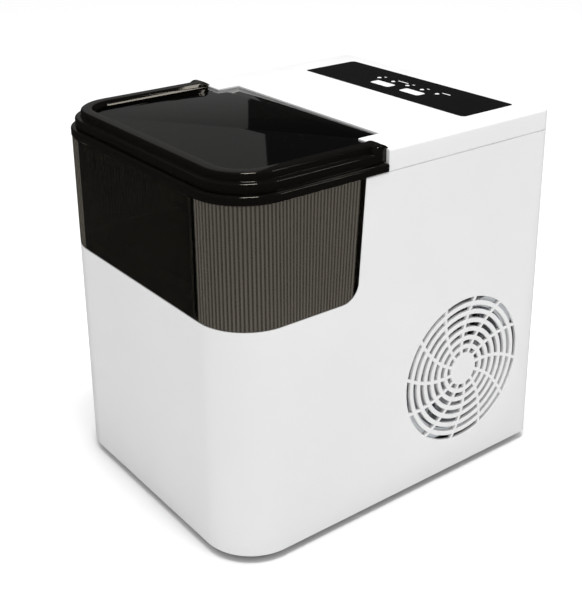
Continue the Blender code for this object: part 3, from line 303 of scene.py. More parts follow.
WHITE = moulded_plastic("white_housing_plastic", (0.80, 0.80, 0.80), 0.42, 1500.0, 0.000012, 0.012)
BUTTON_WHITE = moulded_plastic("white_button_plastic", (0.86, 0.86, 0.86), 0.3, 2600.0, 0.000006, 0.01)
MARK_WHITE = moulded_plastic("printed_white_ink", (0.8, 0.8, 0.8), 0.55, 5000.0, 0.000004, 0.05)
LIGHT_WHITE = moulded_plastic("frosted_light_bar", (0.86, 0.87, 0.88), 0.5, 3000.0, 0.000006, 0.02)
SMOKED = smoked_plastic("smoked_clear_plastic", (0.048, 0.042, 0.033), 0.03)
SMOKED_THICK = smoked_plastic("smoked_thick_plastic", (0.005, 0.0045, 0.004), 0.05, 0.15)
# The rib crests and valleys are lit and shaded copies of one smoked plastic: the lighter crests carry painted
# light, the darker valleys painted shade.
RIB_CREST_PAINTED_LIGHT = smoked_plastic("smoked_rib_crests_painted_light", (0.17, 0.155, 0.13), 0.16, 0.45, 0.00001)
RIB_VALLEY_PAINTED_SHADE = smoked_plastic("smoked_rib_valleys_painted_shade", (0.085, 0.076, 0.062), 0.16, 0.45, 0.00001)
GLASS_BLACK = moulded_plastic("black_panel_glass", (0.006, 0.006, 0.006), 0.12, 900.0, 0.000001, 0.1)
PALE = moulded_plastic("pale_food_plastic", (0.62, 0.64, 0.66), 0.4, 1800.0, 0.00001, 0.02)
GREY = moulded_plastic("grey_plastic", (0.30, 0.31, 0.32), 0.45, 1600.0, 0.00002, 0.05)
BLACK = moulded_plastic("black_textured_plastic", (0.022, 0.022, 0.023), 0.5, 1400.0, 0.00003, 0.15)
RUBBER = moulded_plastic("black_rubber", (0.016, 0.016, 0.016), 0.8, 900.0, 0.00006, 0.2, 0.3)
SILICONE = moulded_plastic("milky_silicone", (0.66, 0.66, 0.62), 0.5, 700.0, 0.00002, 0.05)
FOAM = foam("cut_foam")
STEEL = metal("bright_steel", (0.62, 0.62, 0.62), 0.28, (1, 1, 8))
ZINC = metal("zinc_coated_sheet", (0.56, 0.57, 0.58), 0.42, (1, 1, 1), 160.0, 0.00002)
COPPER = metal("drawn_copper", (0.78, 0.40, 0.24), 0.28, (6, 6, 1))
NICKEL = metal("nickel_plating", (0.70, 0.67, 0.62), 0.16, (1, 1, 3))
ALUMINIUM = metal("bare_aluminium", (0.78, 0.79, 0.80), 0.35, (1, 1, 12))
ENAMEL = moulded_plastic("gloss_black_enamel", (0.012, 0.012, 0.013), 0.22, 500.0, 0.00003, 0.2)
BOARD = circuit_board("green_circuit_board")

SLOT_MATERIALS = {
    "white_housing": WHITE, "white_button": BUTTON_WHITE, "light_bar": LIGHT_WHITE,
    "smoked_plastic": SMOKED, "black_glass": GLASS_BLACK, "circuit_board": BOARD, "zinc_sheet": ZINC,
    "rubber": RUBBER, "steel": STEEL, "pale_plastic": PALE, "grey_plastic": GREY,
    "black_plastic": BLACK, "foam": FOAM, "nickel": NICKEL, "copper": COPPER,
    "aluminium": ALUMINIUM, "black_paint": ENAMEL, "silicone": SILICONE,
}
for subpart in frame["record"]["subparts"]:
    cad_mesh = frame["nodes"][subpart["node"]].data
    cad_mesh.materials.clear()
    cad_mesh.materials.append(SLOT_MATERIALS[subpart["material_slot"]])


# ---------------------------------------------------------------- mesh helpers
def add_mesh(name, points, faces, *materials, smooth_angle=SMOOTH_ANGLE):
    """A mesh object from points in millimetres, with its faces turned outwards."""
    mesh = bpy.data.meshes.new(name)
    mesh.from_pydata([Vector(point) * MM for point in points], [], faces)
    work = bmesh.new()
    work.from_mesh(mesh)
    bmesh.ops.recalc_face_normals(work, faces=work.faces)
    work.to_mesh(mesh)
    work.free()
    made = bpy.data.objects.new(name, mesh)
    bpy.context.scene.collection.objects.link(made)
    for one in materials:
        mesh.materials.append(one)
    smooth(made, smooth_angle)
    return made


def smooth(piece, angle=SMOOTH_ANGLE):
    """Shades a piece smooth, but for its sharp edges."""
    piece.data.shade_smooth()
    piece.data.set_sharp_from_angle(angle=math.radians(angle))
    return piece


def along(axis, across, up, depth):
    """A point whose depth runs along the named axis. The other two follow in X, Y, Z order."""
    if axis == "X":
        return (depth, across, up)
    if axis == "Y":
        return (across, depth, up)
    return (across, up, depth)


def skin(rings, count, start=0, closed=False):
    """The faces over a number of rings of count points each."""
    end = start + rings * count
    faces = [] if closed else [tuple(range(start, start + count)), tuple(range(end - count, end))]
    for band in range(rings if closed else rings - 1):
        first, second = start + band * count, start + (band + 1) % rings * count
        for i in range(count):
            j = (i + 1) % count
            faces.append((first + i, first + j, second + j, second + i))
    return faces


def loft(name, rings, *materials, closed=False, smooth_angle=SMOOTH_ANGLE):
    """A skin over rings of equally many points. A closed one returns to its first ring, others get caps."""
    points = [point for ring in rings for point in ring]
    faces = skin(len(rings), len(rings[0]), closed=closed)
    return add_mesh(name, points, faces, *materials, smooth_angle=smooth_angle)


def stack(name, outline_at, profile, *materials, axis="Z", **options):
    """A loft of flat outlines: outline_at(inset) for each (inset, depth) of the profile."""
    rings = [[along(axis, a, b, depth) for a, b in outline_at(inset)] for inset, depth in profile]
    return loft(name, rings, *materials, **options)


def many_stacks(name, outlines_at, profile, axis="Z"):
    """Several separate stacks in one object, for use as a cutter."""
    points, faces = [], []
    for outline_at in outlines_at:
        rings = [[along(axis, a, b, depth) for a, b in outline_at(inset)] for inset, depth in profile]
        faces += skin(len(rings), len(rings[0]), len(points))
        points += [point for ring in rings for point in ring]
    return add_mesh(name, points, faces)


def turned(name, profile, centre, *materials, axis="Z", steps=48, hollow=False, **options):
    """A turned solid. The profile is (radius, depth) pairs, and a hollow one closes on itself."""
    rings = []
    for radius, depth in profile:
        ring = []
        for step in range(steps):
            angle = 2 * math.pi * step / steps
            point = Vector(along(axis, radius * math.cos(angle), radius * math.sin(angle), depth))
            ring.append(point + Vector(centre))
        rings.append(ring)
    return loft(name, rings, *materials, closed=hollow, **options)


def round_corners(corners, steps=6):
    """An outline from (a, b, radius) corners, each rounded with an arc where it has a radius."""
    outline = []
    count = len(corners)
    for i, (a, b, radius) in enumerate(corners):
        here = Vector((a, b))
        if radius <= 0:
            outline.append((a, b))
            continue
        before = (Vector(corners[i - 1][:2]) - here).normalized()
        after = (Vector(corners[(i + 1) % count][:2]) - here).normalized()
        half = before.angle(after) / 2
        centre = here + (before + after).normalized() * (radius / math.sin(half))
        start = here + before * (radius / math.tan(half)) - centre
        end = here + after * (radius / math.tan(half)) - centre
        turn = start.angle_signed(end)
        for step in range(steps + 1):
            point = centre + Matrix.Rotation(-turn * step / steps, 2) @ start
            outline.append((point.x, point.y))
    return outline


def rounded_box(centre, size, radius, steps=6):
    """A function of inset that gives a rectangle's outline with round corners."""
    def outline_at(inset):
        w, h = size[0] / 2 - inset, size[1] / 2 - inset
        a, b = centre
        corners = [(a - w, b - h), (a + w, b - h), (a + w, b + h), (a - w, b + h)]
        return round_corners([(*corner, max(radius - inset, 0.05)) for corner in corners], steps)
    return outline_at


def circle(a, b, radius, steps=24):
    """A function of inset that gives a circle."""
    def outline_at(inset):
        return [(a + (radius - inset) * math.cos(2 * math.pi * k / steps),
                 b + (radius - inset) * math.sin(2 * math.pi * k / steps)) for k in range(steps)]
    return outline_at


def soft_edges(low, high, radius=0.6, steps=3):
    """A profile of insets and depths for a solid whose two faces have rounded edges."""
    turn = [math.pi / 2 * k / steps for k in range(steps + 1)]
    arc = [(radius * (1 - math.sin(a)), radius * (1 - math.cos(a))) for a in turn]
    return ([(inset, low + rise) for inset, rise in arc]
            + [(inset, high - rise) for inset, rise in reversed(arc)])


def plan(half, front, rear, front_radius, rear_radius, front_steps=24, rear_steps=8):
    """The housing's outline seen from above: wide round corners in front, small ones at the rear."""
    far = 1000.0
    front_part = round_corners([(-half, front, front_radius), (half, front, front_radius),
                                (half, far, 0), (-half, far, 0)], front_steps)
    rear_part = round_corners([(half, rear, rear_radius), (-half, rear, rear_radius),
                               (-half, -far, 0), (half, -far, 0)], rear_steps)
    rear_end = rear_part[:2 * (rear_steps + 1)] if rear_radius > 0 else [(half, rear), (-half, rear)]
    return front_part[:2 * (front_steps + 1)] + rear_end


def sweep_front(name, section, half, front, corner, rear, *materials, steps=28, **options):
    """A closed cross-section of (inset, z) carried round the front of the housing."""
    rings = []
    paths = []
    for inset, z in section:
        radius = max(corner - inset, 0.5)
        arc = plan(half - inset, front + inset, rear, radius, 0, steps)[:2 * (steps + 1)]
        paths.append([(a, b, z) for a, b in [(-half + inset, rear)] + arc + [(half - inset, rear)]])
    for i in range(len(paths[0])):
        rings.append([path[i] for path in paths])
    return loft(name, rings, *materials, **options)


def boolean(body, other, operation):
    """Applies one exact Boolean, each face keeping its material, and removes the other piece."""
    modifier = body.modifiers.new("boolean", "BOOLEAN")
    modifier.operation = operation
    modifier.solver = "EXACT"
    modifier.material_mode = "TRANSFER"
    modifier.object = other
    bpy.context.view_layer.update()
    scene_now = bpy.context.evaluated_depsgraph_get()
    made = bpy.data.meshes.new_from_object(body.evaluated_get(scene_now))
    body.modifiers.clear()
    old = body.data
    made.name = old.name
    body.data = made
    bpy.data.meshes.remove(old)
    bpy.data.objects.remove(other, do_unlink=True)
    return body


def cut(body, *others, angle=SMOOTH_ANGLE):
    """Takes the other pieces away from a body."""
    for other in others:
        boolean(body, other, "DIFFERENCE")
    return smooth(body, angle)


def join(body, *others, angle=SMOOTH_ANGLE):
    """Adds the other pieces to a body."""
    for other in others:
        boolean(body, other, "UNION")
    return smooth(body, angle)


def block(name, low, high, *materials, edge=0.4):
    """A box with softly rounded edges."""
    centre = ((low[0] + high[0]) / 2, (low[1] + high[1]) / 2)
    outline_at = rounded_box(centre, (high[0] - low[0], high[1] - low[1]), edge * 1.5, 3)
    return stack(name, outline_at, soft_edges(low[2], high[2], edge, 2), *materials)


def settle(piece, body, slot, *nodes):
    """Says what a piece moves with and which CAD nodes it stands for, and hides those nodes. The slot argument is
    not used.
    """
    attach(piece, body)
    if nodes:
        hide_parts(*nodes)
    return piece


# ---------------------------------------------------------------- housing
def shell_plan(inset):
    return plan(HALF_WIDTH - inset, FRONT_Y + inset, REAR_Y - inset,
                FRONT_CORNER - inset, REAR_CORNER - inset)


def window_outline(grow):
    """The viewing window's outline seen from the side, in y and z, grown all round."""
    bottom, top = WINDOW_BOTTOM - grow, SEAM_Z + 20

    def rear(z):
        return WINDOW_REAR_TOP - (SEAM_Z - z) * WINDOW_REAR_SLOPE + grow

    return round_corners([(FRONT_Y - 20, bottom, 0), (rear(bottom), bottom, WINDOW_REAR_RADIUS + grow),
                          (rear(top), top, 0), (FRONT_Y - 20, top, 0)], 16)


def grille_slot(ring, spoke):
    """A function of inset that gives one arc slot of the fan grille."""
    middle = GRILLE_OUTER - ring * GRILLE_PITCH
    steps = 8 if middle > 30 else 5

    def outline_at(inset):
        edge = []
        low, high = middle - GRILLE_SLOT / 2 + inset, middle + GRILLE_SLOT / 2 - inset
        for radius, order in ((high, range(steps + 1)), (low, range(steps, -1, -1))):
            twist = math.radians(SPOKE_START + SPOKE_TWIST * radius / GRILLE_OUTER)
            start = 2 * math.pi * spoke / GRILLE_SPOKES + twist + (SPOKE_WIDTH / 2 + inset) / radius
            end = 2 * math.pi * (spoke + 1) / GRILLE_SPOKES + twist - (SPOKE_WIDTH / 2 + inset) / radius
            for step in order:
                angle = start + (end - start) * step / steps
                edge.append((fan_centre.y + radius * math.cos(angle),
                             fan_centre.z + radius * math.sin(angle)))
        return edge
    return outline_at


def flared(outside, inside, chamfer=0.45):
    """A cutter's profile that opens out where it leaves the outer face."""
    way = 1 if outside > inside else -1
    profile = [(0, inside), (0, outside - way * chamfer), (-2 * chamfer, outside + way * chamfer)]
    return profile if way > 0 else profile[::-1]


def make_housing():
    lip = 0.8
    section = [(lip, SHELL_BOTTOM), (lip * 0.3, SHELL_BOTTOM + lip * 0.3), (0, SHELL_BOTTOM + lip),
               (0, SHELL_TOP - lip), (lip, SHELL_TOP),
               (WALL, SHELL_TOP), (WALL, SHELL_BOTTOM)]
    housing = stack("housing_shell", shell_plan, section, WHITE, closed=True)
    rims = [[(x, y, z) for y, z in window_outline(GAP)] for x in (-BEYOND, BEYOND)]
    window = loft("window_cutter", rims)
    opening_centre, opening_size = (0, 143), (200, 238)
    rear_hole = stack("rear_cutter", rounded_box(opening_centre, opening_size, 1.0),
                      [(0, 142), (0, 155)], axis="Y")
    slots = [grille_slot(ring, spoke) for ring in range(GRILLE_RINGS) for spoke in range(GRILLE_SPOKES)]
    grille = many_stacks("grille_cutter", slots, flared(HALF_WIDTH, SIDE_CUT_DEPTH), axis="X")
    intake_y, intake_bottom, intake_length = 78, 46, 84
    slots = [rounded_box((intake_y, intake_bottom + INTAKE_PITCH * k), (intake_length, LOUVRE_HEIGHT),
                         LOUVRE_ROUNDING) for k in range(INTAKE_SLOTS)]
    intake = many_stacks("intake_cutter", slots, flared(-HALF_WIDTH, -SIDE_CUT_DEPTH), axis="X")
    cut(housing, window, rear_hole, grille, intake)
    settle(housing, "housing", "white_housing", "side_shell")


def make_rear_panel():
    centre = (0, (panel_low.z + panel_high.z) / 2)
    size = (panel_high.x - panel_low.x, panel_high.z - panel_low.z)
    panel = stack("rear_cover", rounded_box(centre, size, 1.5), soft_edges(panel_low.y, panel_high.y, 0.5),
                  WHITE, axis="Y")
    louvre_x, louvre_bottom, louvre_length = 42, 120, 64
    louvres = [rounded_box((x, louvre_bottom + LOUVRE_PITCH * row), (louvre_length, LOUVRE_HEIGHT),
                           LOUVRE_ROUNDING)
               for x in (-louvre_x, louvre_x) for row in range(LOUVRE_ROWS)]
    behind = 140  # a depth inside the panel, for cutters
    sinks = [circle(*node_centre(f"panel_screw_{number}", "xz"), 3.5, 32) for number in range(1, 5)]
    inlet = rounded_box(node_centre("power_inlet", "xz"), (24.6, 18.6), 4.0)
    drain = circle(*node_centre("drain_plug", "xz"), 9.8, 48)
    cut(panel, many_stacks("louvre_cutter", louvres, flared(panel_high.y, behind), axis="Y"),
        many_stacks("sink_cutter", sinks, flared(panel_high.y, 147.0, 0.2), axis="Y"),
        many_stacks("drain_cutter", [drain], flared(panel_high.y, behind, 0.3), axis="Y"),
        many_stacks("inlet_cutter", [inlet], flared(panel_high.y, behind, 0.3), axis="Y"))
    settle(panel, "housing", "white_housing", "rear_panel")


def cover_plan(inset):
    """The top cover's outline, notched for the lid's tongue, its inner edges rounded less."""
    inner = inset * INNER_EDGE
    half, front = HALF_WIDTH - inset, COVER_FRONT + inner
    notch, notch_front = COVER_NOTCH_HALF + inner, COVER_NOTCH_FRONT + inner
    corner = max(REAR_CORNER - inset, 0.5)
    return round_corners([(-half, front, 0), (-notch, front, 0.6), (-notch, notch_front, 0.6),
                          (notch, notch_front, 0.6), (notch, front, 0.6), (half, front, 0),
                          (half, REAR_Y - inset, corner), (-half, REAR_Y - inset, corner)], 10)


def make_top_cover():
    fillet, steps = 1.5, 6
    turn = [math.pi / 2 * k / steps for k in range(steps + 1)]
    arc = [(fillet * (1 - math.cos(a)), TOP_Z - fillet * (1 - math.sin(a))) for a in turn]
    profile = [(0, cover_low.z)] + arc
    cover = stack("top_cover_skin", cover_plan, profile, WHITE)
    inside = stack("inside_cutter", cover_plan, [(WALL, cover_low.z - 5), (WALL, TOP_Z - 3.2)])
    middle = (0, (glass_low.y + glass_high.y) / 2)
    size = (glass_high.x - glass_low.x + 2 * GAP, glass_high.y - glass_low.y + 2 * GAP)
    pocket = many_stacks("pocket_cutter", [rounded_box(middle, size, PANEL_CORNER + GAP, 10)],
                         flared(TOP_Z, TOP_Z - 1.6, 0.12))
    opening_centre, opening_size = (0, 106), (168, 36)
    opening = stack("opening_cutter", rounded_box(opening_centre, opening_size, 1.0),
                    [(0, TOP_Z - 6), (0, TOP_Z - 1)])
    cut(cover, inside, pocket, opening)
    for side in (-1, 1):
        near, far = sorted((side * (HALF_WIDTH - WALL), side * HALF_WIDTH))
        toe = block(f"toe_{side}", (near, COLLAR_REAR + GAP, cover_low.z), (far, COVER_FRONT + 1, COLLAR_TOP))
        join(cover, toe)
    settle(cover, "housing", "white_housing", "top_cover")


def make_control_panel():
    middle = (0, (glass_low.y + glass_high.y) / 2)
    size = (glass_high.x - glass_low.x, glass_high.y - glass_low.y)
    buttons = {body: node_centre(body, "xy") for body in ("power_button", "select_button")}
    guide_low, guide_high = node_box("light_guide")
    light_y = (guide_low.y + guide_high.y) / 2
    lights = [LIGHT_PITCH * (k - 2) for k in range(5)]

    glass = stack("control_panel_glass", rounded_box(middle, size, PANEL_CORNER, 12),
                  soft_edges(glass_low.z, glass_high.z, 0.3), GLASS_BLACK)
    hole_size = (BUTTON_SIZE[0] + 2 * GAP, BUTTON_SIZE[1] + 2 * GAP)
    holes = [rounded_box(place, hole_size, 2.3) for place in buttons.values()]
    holes += [circle(x, light_y, LIGHT_RADIUS + GAP) for x in lights]
    cut(glass, many_stacks("glass_cutter", holes, flared(glass_high.z, glass_low.z - 2, 0.12)))
    settle(glass, "housing", "black_glass", "control_glass")

    for body, place in buttons.items():
        low, high = node_box(body)
        crown = [(0, low.z + 1.0), (0, high.z - 0.55), (0.15, high.z - 0.2), (0.6, high.z - 0.02),
                 (1.6, high.z)]
        button = stack(body + "_cap", rounded_box(place, BUTTON_SIZE, 2.0), crown, BUTTON_WHITE)
        flange = stack(body + "_skirt", rounded_box(place, (25, 12.5), 2.0),
                       soft_edges(low.z, low.z + 1.2, 0.2))
        join(button, flange)
        settle(button, body, "white_button", body)

    bar = block("light_bar", (guide_low.x, guide_low.y, guide_low.z),
                (guide_high.x, guide_high.y, guide_low.z + 1.8), LIGHT_WHITE, edge=0.2)
    pips = []
    for number, x in enumerate(lights):
        dome = [(LIGHT_RADIUS, guide_low.z + 1.0), (LIGHT_RADIUS, glass_high.z - 0.35),
                (LIGHT_RADIUS - 0.25, glass_high.z - 0.1), (0.8, glass_high.z)]
        pips.append(turned(f"pip_{number}", dome, (x, light_y, 0), steps=24))
    join(bar, *pips)
    settle(bar, "housing", "light_bar", "light_guide")

    # Short printed bars stand in for the real panel's small words and signs.
    bars = []
    for x, length in zip(lights, MARK_LENGTHS):
        bars.append(rounded_box((x + 1.6 + length / 2, light_y + 4.4), (length, 1.3), 0.4, 3))
    ink = many_stacks("printed_marks", bars, [(0, glass_high.z - 0.05), (0, glass_high.z + 0.03)])
    ink.data.materials.append(MARK_WHITE)
    settle(ink, "housing", "white_button")


def make_feet():
    for number in range(1, 5):
        centre = (*node_centre(f"rubber_foot_{number}", "xy"), 0)
        foot = turned(f"foot_{number}", FOOT_PROFILE, centre, RUBBER, steps=40)
        settle(foot, "housing", "rubber", f"rubber_foot_{number}")


# ---------------------------------------------------------------- viewing window
def window_place(s):
    """The point and outward direction at an arc length s from the middle of the housing's front."""
    flat = HALF_WIDTH - FRONT_CORNER
    corner = FRONT_CORNER * math.pi / 2
    side = 1 if s >= 0 else -1
    s = abs(s)
    if s <= flat:
        point, normal = (s, FRONT_Y), (0.0, -1.0)
    elif s <= flat + corner:
        angle = (s - flat) / FRONT_CORNER
        normal = (math.sin(angle), -math.cos(angle))
        point = (flat + FRONT_CORNER * normal[0], FRONT_Y + FRONT_CORNER + FRONT_CORNER * normal[1])
    else:
        point, normal = (HALF_WIDTH, FRONT_Y + FRONT_CORNER + s - flat - corner), (1.0, 0.0)
    return Vector((side * point[0], point[1])), Vector((side * normal[0], normal[1]))


def make_window_wall():
    """The smoked wall round the front corners: smooth in front, ribbed on its corners and sides, with painted
    light on the rib crests and painted shade in the rib valleys.
    """
    flat = HALF_WIDTH - FRONT_CORNER
    side_start = flat + FRONT_CORNER * math.pi / 2
    top = SEAM_Z - 0.6

    def rear_s(z):
        return side_start + WINDOW_REAR_TOP - (SEAM_Z - z) * WINDOW_REAR_SLOPE - (FRONT_Y + FRONT_CORNER)

    rear_top = rear_s(top)
    ribs_end = rear_top - SMOOTH_BORDER
    rib_count = round((ribs_end - flat) / RIB_PITCH)
    pitch = (ribs_end - flat) / rib_count
    half = [flat * k / 10 for k in range(10)]
    half += [flat + pitch * k / RIB_STEPS for k in range(rib_count * RIB_STEPS)]
    half += [ribs_end + SMOOTH_BORDER * math.sin(math.pi / 2 * k / 8) for k in range(9)]
    columns = [-s for s in reversed(half[1:])] + half
    radius = WINDOW_REAR_RADIUS
    arc_z = WINDOW_BOTTOM + radius
    rows = len(WINDOW_ROWS)

    def rib(s):
        """How far the face lies behind the tops of the ribs."""
        if not flat < abs(s) < ribs_end:
            return 0.0
        across = ((abs(s) - flat) / pitch) % 1.0 * 2 - 1
        round_radius = (pitch**2 / 4 + RIB_DEPTH**2) / (2 * RIB_DEPTH)
        return round_radius - math.sqrt(round_radius**2 - (across * pitch / 2)**2)

    outer, inner = [], []
    for s in columns:
        share = max(abs(s) - side_start, 0) / (rear_top - side_start)
        outside, inside = [], []
        arc_start = rear_s(arc_z) - radius
        for row in range(rows):
            here = abs(s)
            low = WINDOW_BOTTOM
            for _ in range(3):
                if share > 0:
                    here = side_start + share * (rear_s(low) - side_start)
                reach = min(max(here - arc_start, 0), radius)
                low = arc_z - math.sqrt(radius**2 - reach**2)
            rise = WINDOW_ROWS[row]
            z = low + (top - low) * rise
            if share > 0:
                here = side_start + share * (rear_s(z) - side_start)
            point, normal = window_place(math.copysign(here, s))
            depth = rib(s) * min(rise / RIB_FADE_BOTTOM, (1 - rise) / RIB_FADE_TOP, 1.0)
            edge = WINDOW_EDGE if row in (0, rows - 1) or abs(s) >= rear_top - 1e-6 else 0.0
            surface = point - normal * (depth + edge)
            outside.append((surface.x, surface.y, z))
            back = point - normal * WALL
            inside.append((back.x, back.y, z))
        outer.append(outside)
        inner.append(inside)

    points = [point for column in outer + inner for point in column]
    offset = len(outer) * rows
    faces, slots = [], []

    def add(face, slot):
        faces.append(face)
        slots.append(slot)

    for i in range(len(columns) - 1):
        middle = abs(columns[i] + columns[i + 1]) / 2
        slot = 0
        # Each rib's middle takes the lighter crest copy (painted light) and its grooves take the darker valley
        # copy (painted shade).
        if flat < middle < ribs_end:
            across = ((middle - flat) / pitch) % 1.0
            slot = 1 if 0.25 < across < 0.75 else 2
        for row in range(rows - 1):
            a, b = i * rows + row, (i + 1) * rows + row
            add((a, b, b + 1, a + 1), slot)
            add((offset + a, offset + a + 1, offset + b + 1, offset + b), slot)
        for row in (0, rows - 1):
            a, b = i * rows + row, (i + 1) * rows + row
            add((a, b, offset + b, offset + a), slot)
    for i in (0, len(columns) - 1):
        for row in range(rows - 1):
            a = i * rows + row
            add((a, a + 1, offset + a + 1, offset + a), 0)
    wall = add_mesh("window_wall", points, faces, SMOKED, RIB_CREST_PAINTED_LIGHT, RIB_VALLEY_PAINTED_SHADE, smooth_angle=40)
    wall.data.polygons.foreach_set("material_index", slots)
    settle(wall, "housing", "smoked_plastic", "viewing_window")


def make_window_collar():
    low = SEAM_Z - 0.55
    half, front = HALF_WIDTH + COLLAR_PROUD, FRONT_Y - COLLAR_PROUD
    section = round_corners([(0, low, 0.4), (0, COLLAR_TOP, 1.2), (LEDGE_WIDTH, COLLAR_TOP, 0.4),
                             (LEDGE_WIDTH, low, 0.3)], 4)
    collar = sweep_front("window_collar", section, half, front, FRONT_CORNER + COLLAR_PROUD, COLLAR_REAR,
                         SMOKED_THICK)
    cutters = [block("strip_cutter", (-BEYOND, WINDOW_REAR_TOP, low - 10), (BEYOND, 0, SEAM_Z + 0.05),
                     edge=0.01)]
    for side in (-1, 1):
        inner, outer = sorted((side * 90, side * (LID_HALF + 0.6)))
        cutters.append(block(f"relief_cutter_{side}", (inner, hinge.y - EAR_RELIEF, low - 10),
                             (outer, 0, COLLAR_TOP + 9), edge=0.01))
    cut(collar, *cutters)
    for side in (-1, 1):
        near, far = sorted((side * LUG_INNER, side * LUG_OUTER))
        post = block(f"post_{side}", (near, -50, low - 0.3), (far, hinge.y + 2, hinge.z - 3.0))
        head = turned(f"head_{side}", [(LUG_RADIUS - inset, x) for inset, x in soft_edges(near, far, 0.4)],
                      (0, hinge.y, hinge.z), axis="X")
        near, far = sorted((side * LUG_INNER, side * (HALF_WIDTH - 10)))
        arm = block(f"arm_{side}", (near, -50, low + 0.1),
                    (far, hinge.y - EAR_RELIEF - 1, COLLAR_TOP - 0.4))
        near, far = sorted((side * (LUG_INNER - 2), side * (LUG_OUTER + 2)))
        bore = turned(f"bore_{side}", [(PIN_RADIUS + GAP, near), (PIN_RADIUS + GAP, far)],
                      (0, hinge.y, hinge.z), axis="X")
        join(collar, post, head, arm)
        cut(collar, bore)
    settle(collar, "housing", "smoked_plastic")


# ---------------------------------------------------------------- lid
def plate_plan(inset):
    """The lid's plate seen from above, with its tongue at the rear."""
    reach = STEP_INSET + RIM_WIDTH - 0.4
    half, front = LID_HALF - reach - inset, LID_FRONT + reach + inset
    tongue = TONGUE_HALF - inset
    corner = LID_CORNER - reach - inset
    rear, end = PLATE_REAR - inset, LID_REAR - inset
    return round_corners([(-half, front, corner), (half, front, corner), (half, rear, 0.6),
                          (tongue, rear, 0.6), (tongue, end, 0.8), (-tongue, end, 0.8),
                          (-tongue, rear, 0.6), (-half, rear, 0.6)], 10)


def ear_outline(inset):
    """A hinge ear from the side: upright, with a round top."""
    front, rear = hinge.y - EAR_RADIUS + inset, hinge.y + EAR_RADIUS - inset
    radius = EAR_RADIUS - inset - 0.01
    top = LID_TOP - inset
    return round_corners([(front, LID_BOTTOM + inset, 0.2), (rear, LID_BOTTOM + inset, 0.4),
                          (rear, top, radius), (front, top, radius)], 16)


def make_lid():
    rim = STEP_INSET + RIM_WIDTH
    section = round_corners([(0, LID_BOTTOM, 0.3), (0, LID_STEP_Z, 1.3), (STEP_INSET, LID_STEP_Z, 0.4),
                             (STEP_INSET + 0.3, LID_TOP, 1.5), (rim - 1.3, LID_TOP, 0.6),
                             (rim + 0.3, PLATE_TOP, 0.3), (rim + 0.3, PLATE_TOP - LID_WALL, 0.2),
                             (rim - LID_WALL, PLATE_TOP - LID_WALL, 0.2),
                             (rim - LID_WALL, LID_TOP - LID_WALL, 0.4),
                             (STEP_INSET + LID_WALL, LID_TOP - LID_WALL, 0.4),
                             (STEP_INSET + LID_WALL, LID_STEP_Z - LID_WALL, 0.4),
                             (LID_WALL, LID_STEP_Z - LID_WALL, 0.4), (LID_WALL, LID_BOTTOM, 0.3)], 4)
    lid = sweep_front("lid_shell", section, LID_HALF, LID_FRONT, LID_CORNER, RIM_REAR, SMOKED_THICK)
    plate = stack("plate", plate_plan, soft_edges(PLATE_TOP - LID_WALL, PLATE_TOP, 0.35), SMOKED)
    join(lid, plate)
    for side in (-1, 1):
        inner, outer = sorted((side * (LID_HALF - rim), side * LID_HALF))
        ear = stack(f"ear_{side}", ear_outline, soft_edges(inner, outer, 0.7), SMOKED_THICK, axis="X")
        inner, outer = sorted((side * (LUG_INNER - GAP), side * (LUG_OUTER + GAP)))
        slot = block(f"slot_{side}", (inner, hinge.y - 20, 250), (outer, hinge.y + 20, hinge.z + 2.6),
                     edge=0.01)
        slot_top = turned(f"slot_top_{side}", [(LUG_RADIUS + 0.5, inner), (LUG_RADIUS + 0.5, outer)],
                          (0, hinge.y, hinge.z), axis="X")
        cut(ear, slot, slot_top)
        join(lid, ear)
        inner, outer = sorted((side * (LUG_INNER - 0.2), side * (PIN_END + 0.5)))
        cut(lid, turned(f"bore_{side}", [(PIN_RADIUS + GAP, inner), (PIN_RADIUS + GAP, outer)],
                        (0, hinge.y, hinge.z), axis="X"))
    settle(lid, "lid", "smoked_plastic", "lid")
    for node in ("hinge_pin_left", "hinge_pin_right"):
        low, high = node_box(node)
        pin = turned(node + "_rod", [(PIN_RADIUS - inset, x) for inset, x in soft_edges(low.x, high.x, 0.3)],
                     (0, hinge.y, hinge.z), STEEL, axis="X", steps=32)
        settle(pin, "lid", "steel", node)


# ---------------------------------------------------------------- inside and back
def tube(name, route, radius, *materials, steps=24):
    """A round tube swept along a flat route that lies level."""
    rings = []
    for i, point in enumerate(route):
        ahead = Vector(route[min(i + 1, len(route) - 1)]) - Vector(route[max(i - 1, 0)])
        side = ahead.cross(Vector((0, 0, 1))).normalized()
        rings.append([Vector(point) + radius * (side * math.cos(2 * math.pi * k / steps)
                                                + Vector((0, 0, math.sin(2 * math.pi * k / steps))))
                      for k in range(steps)])
    return loft(name, rings, *materials)


def make_evaporator():
    """A tube loop that carries nine cold fingers, each brazed on with a small collar."""
    low, high = node_box("evaporator")
    radius, bend, finger_radius = 3.5, 8.0, 5.0
    half, level, front = high.x - radius, 236.0, -30.0
    turn = [math.pi / 2 * k / 10 for k in range(11)]
    left = [(-half, high.y, level), (-half, high.y - 8, level)]
    left += [(-half + bend * (1 - math.cos(a)), front + bend * (1 - math.sin(a)), level) for a in turn]
    route = left + [(-x, y, z) for x, y, z in reversed(left)]
    coil = tube("evaporator_coil", route, radius, NICKEL)
    settle(coil, "housing", "nickel", "evaporator")
    for number in range(FINGER_COUNT):
        x = FINGER_PITCH * (number - FINGER_COUNT // 2)
        profile = [(0.2, low.z), (2.4, low.z + 0.5), (4.1, low.z + 2.0), (finger_radius, low.z + 5.2),
                   (finger_radius, level - 5.5), (finger_radius + 0.7, level - 4.9),
                   (finger_radius + 0.7, level + 0.6), (finger_radius, level + 1.4),
                   (3.6, high.z - 0.9), (0.2, high.z)]
        finger = turned(f"cold_finger_{number + 1}", profile, (x, front, 0), NICKEL, steps=36)
        settle(finger, "housing", "nickel")


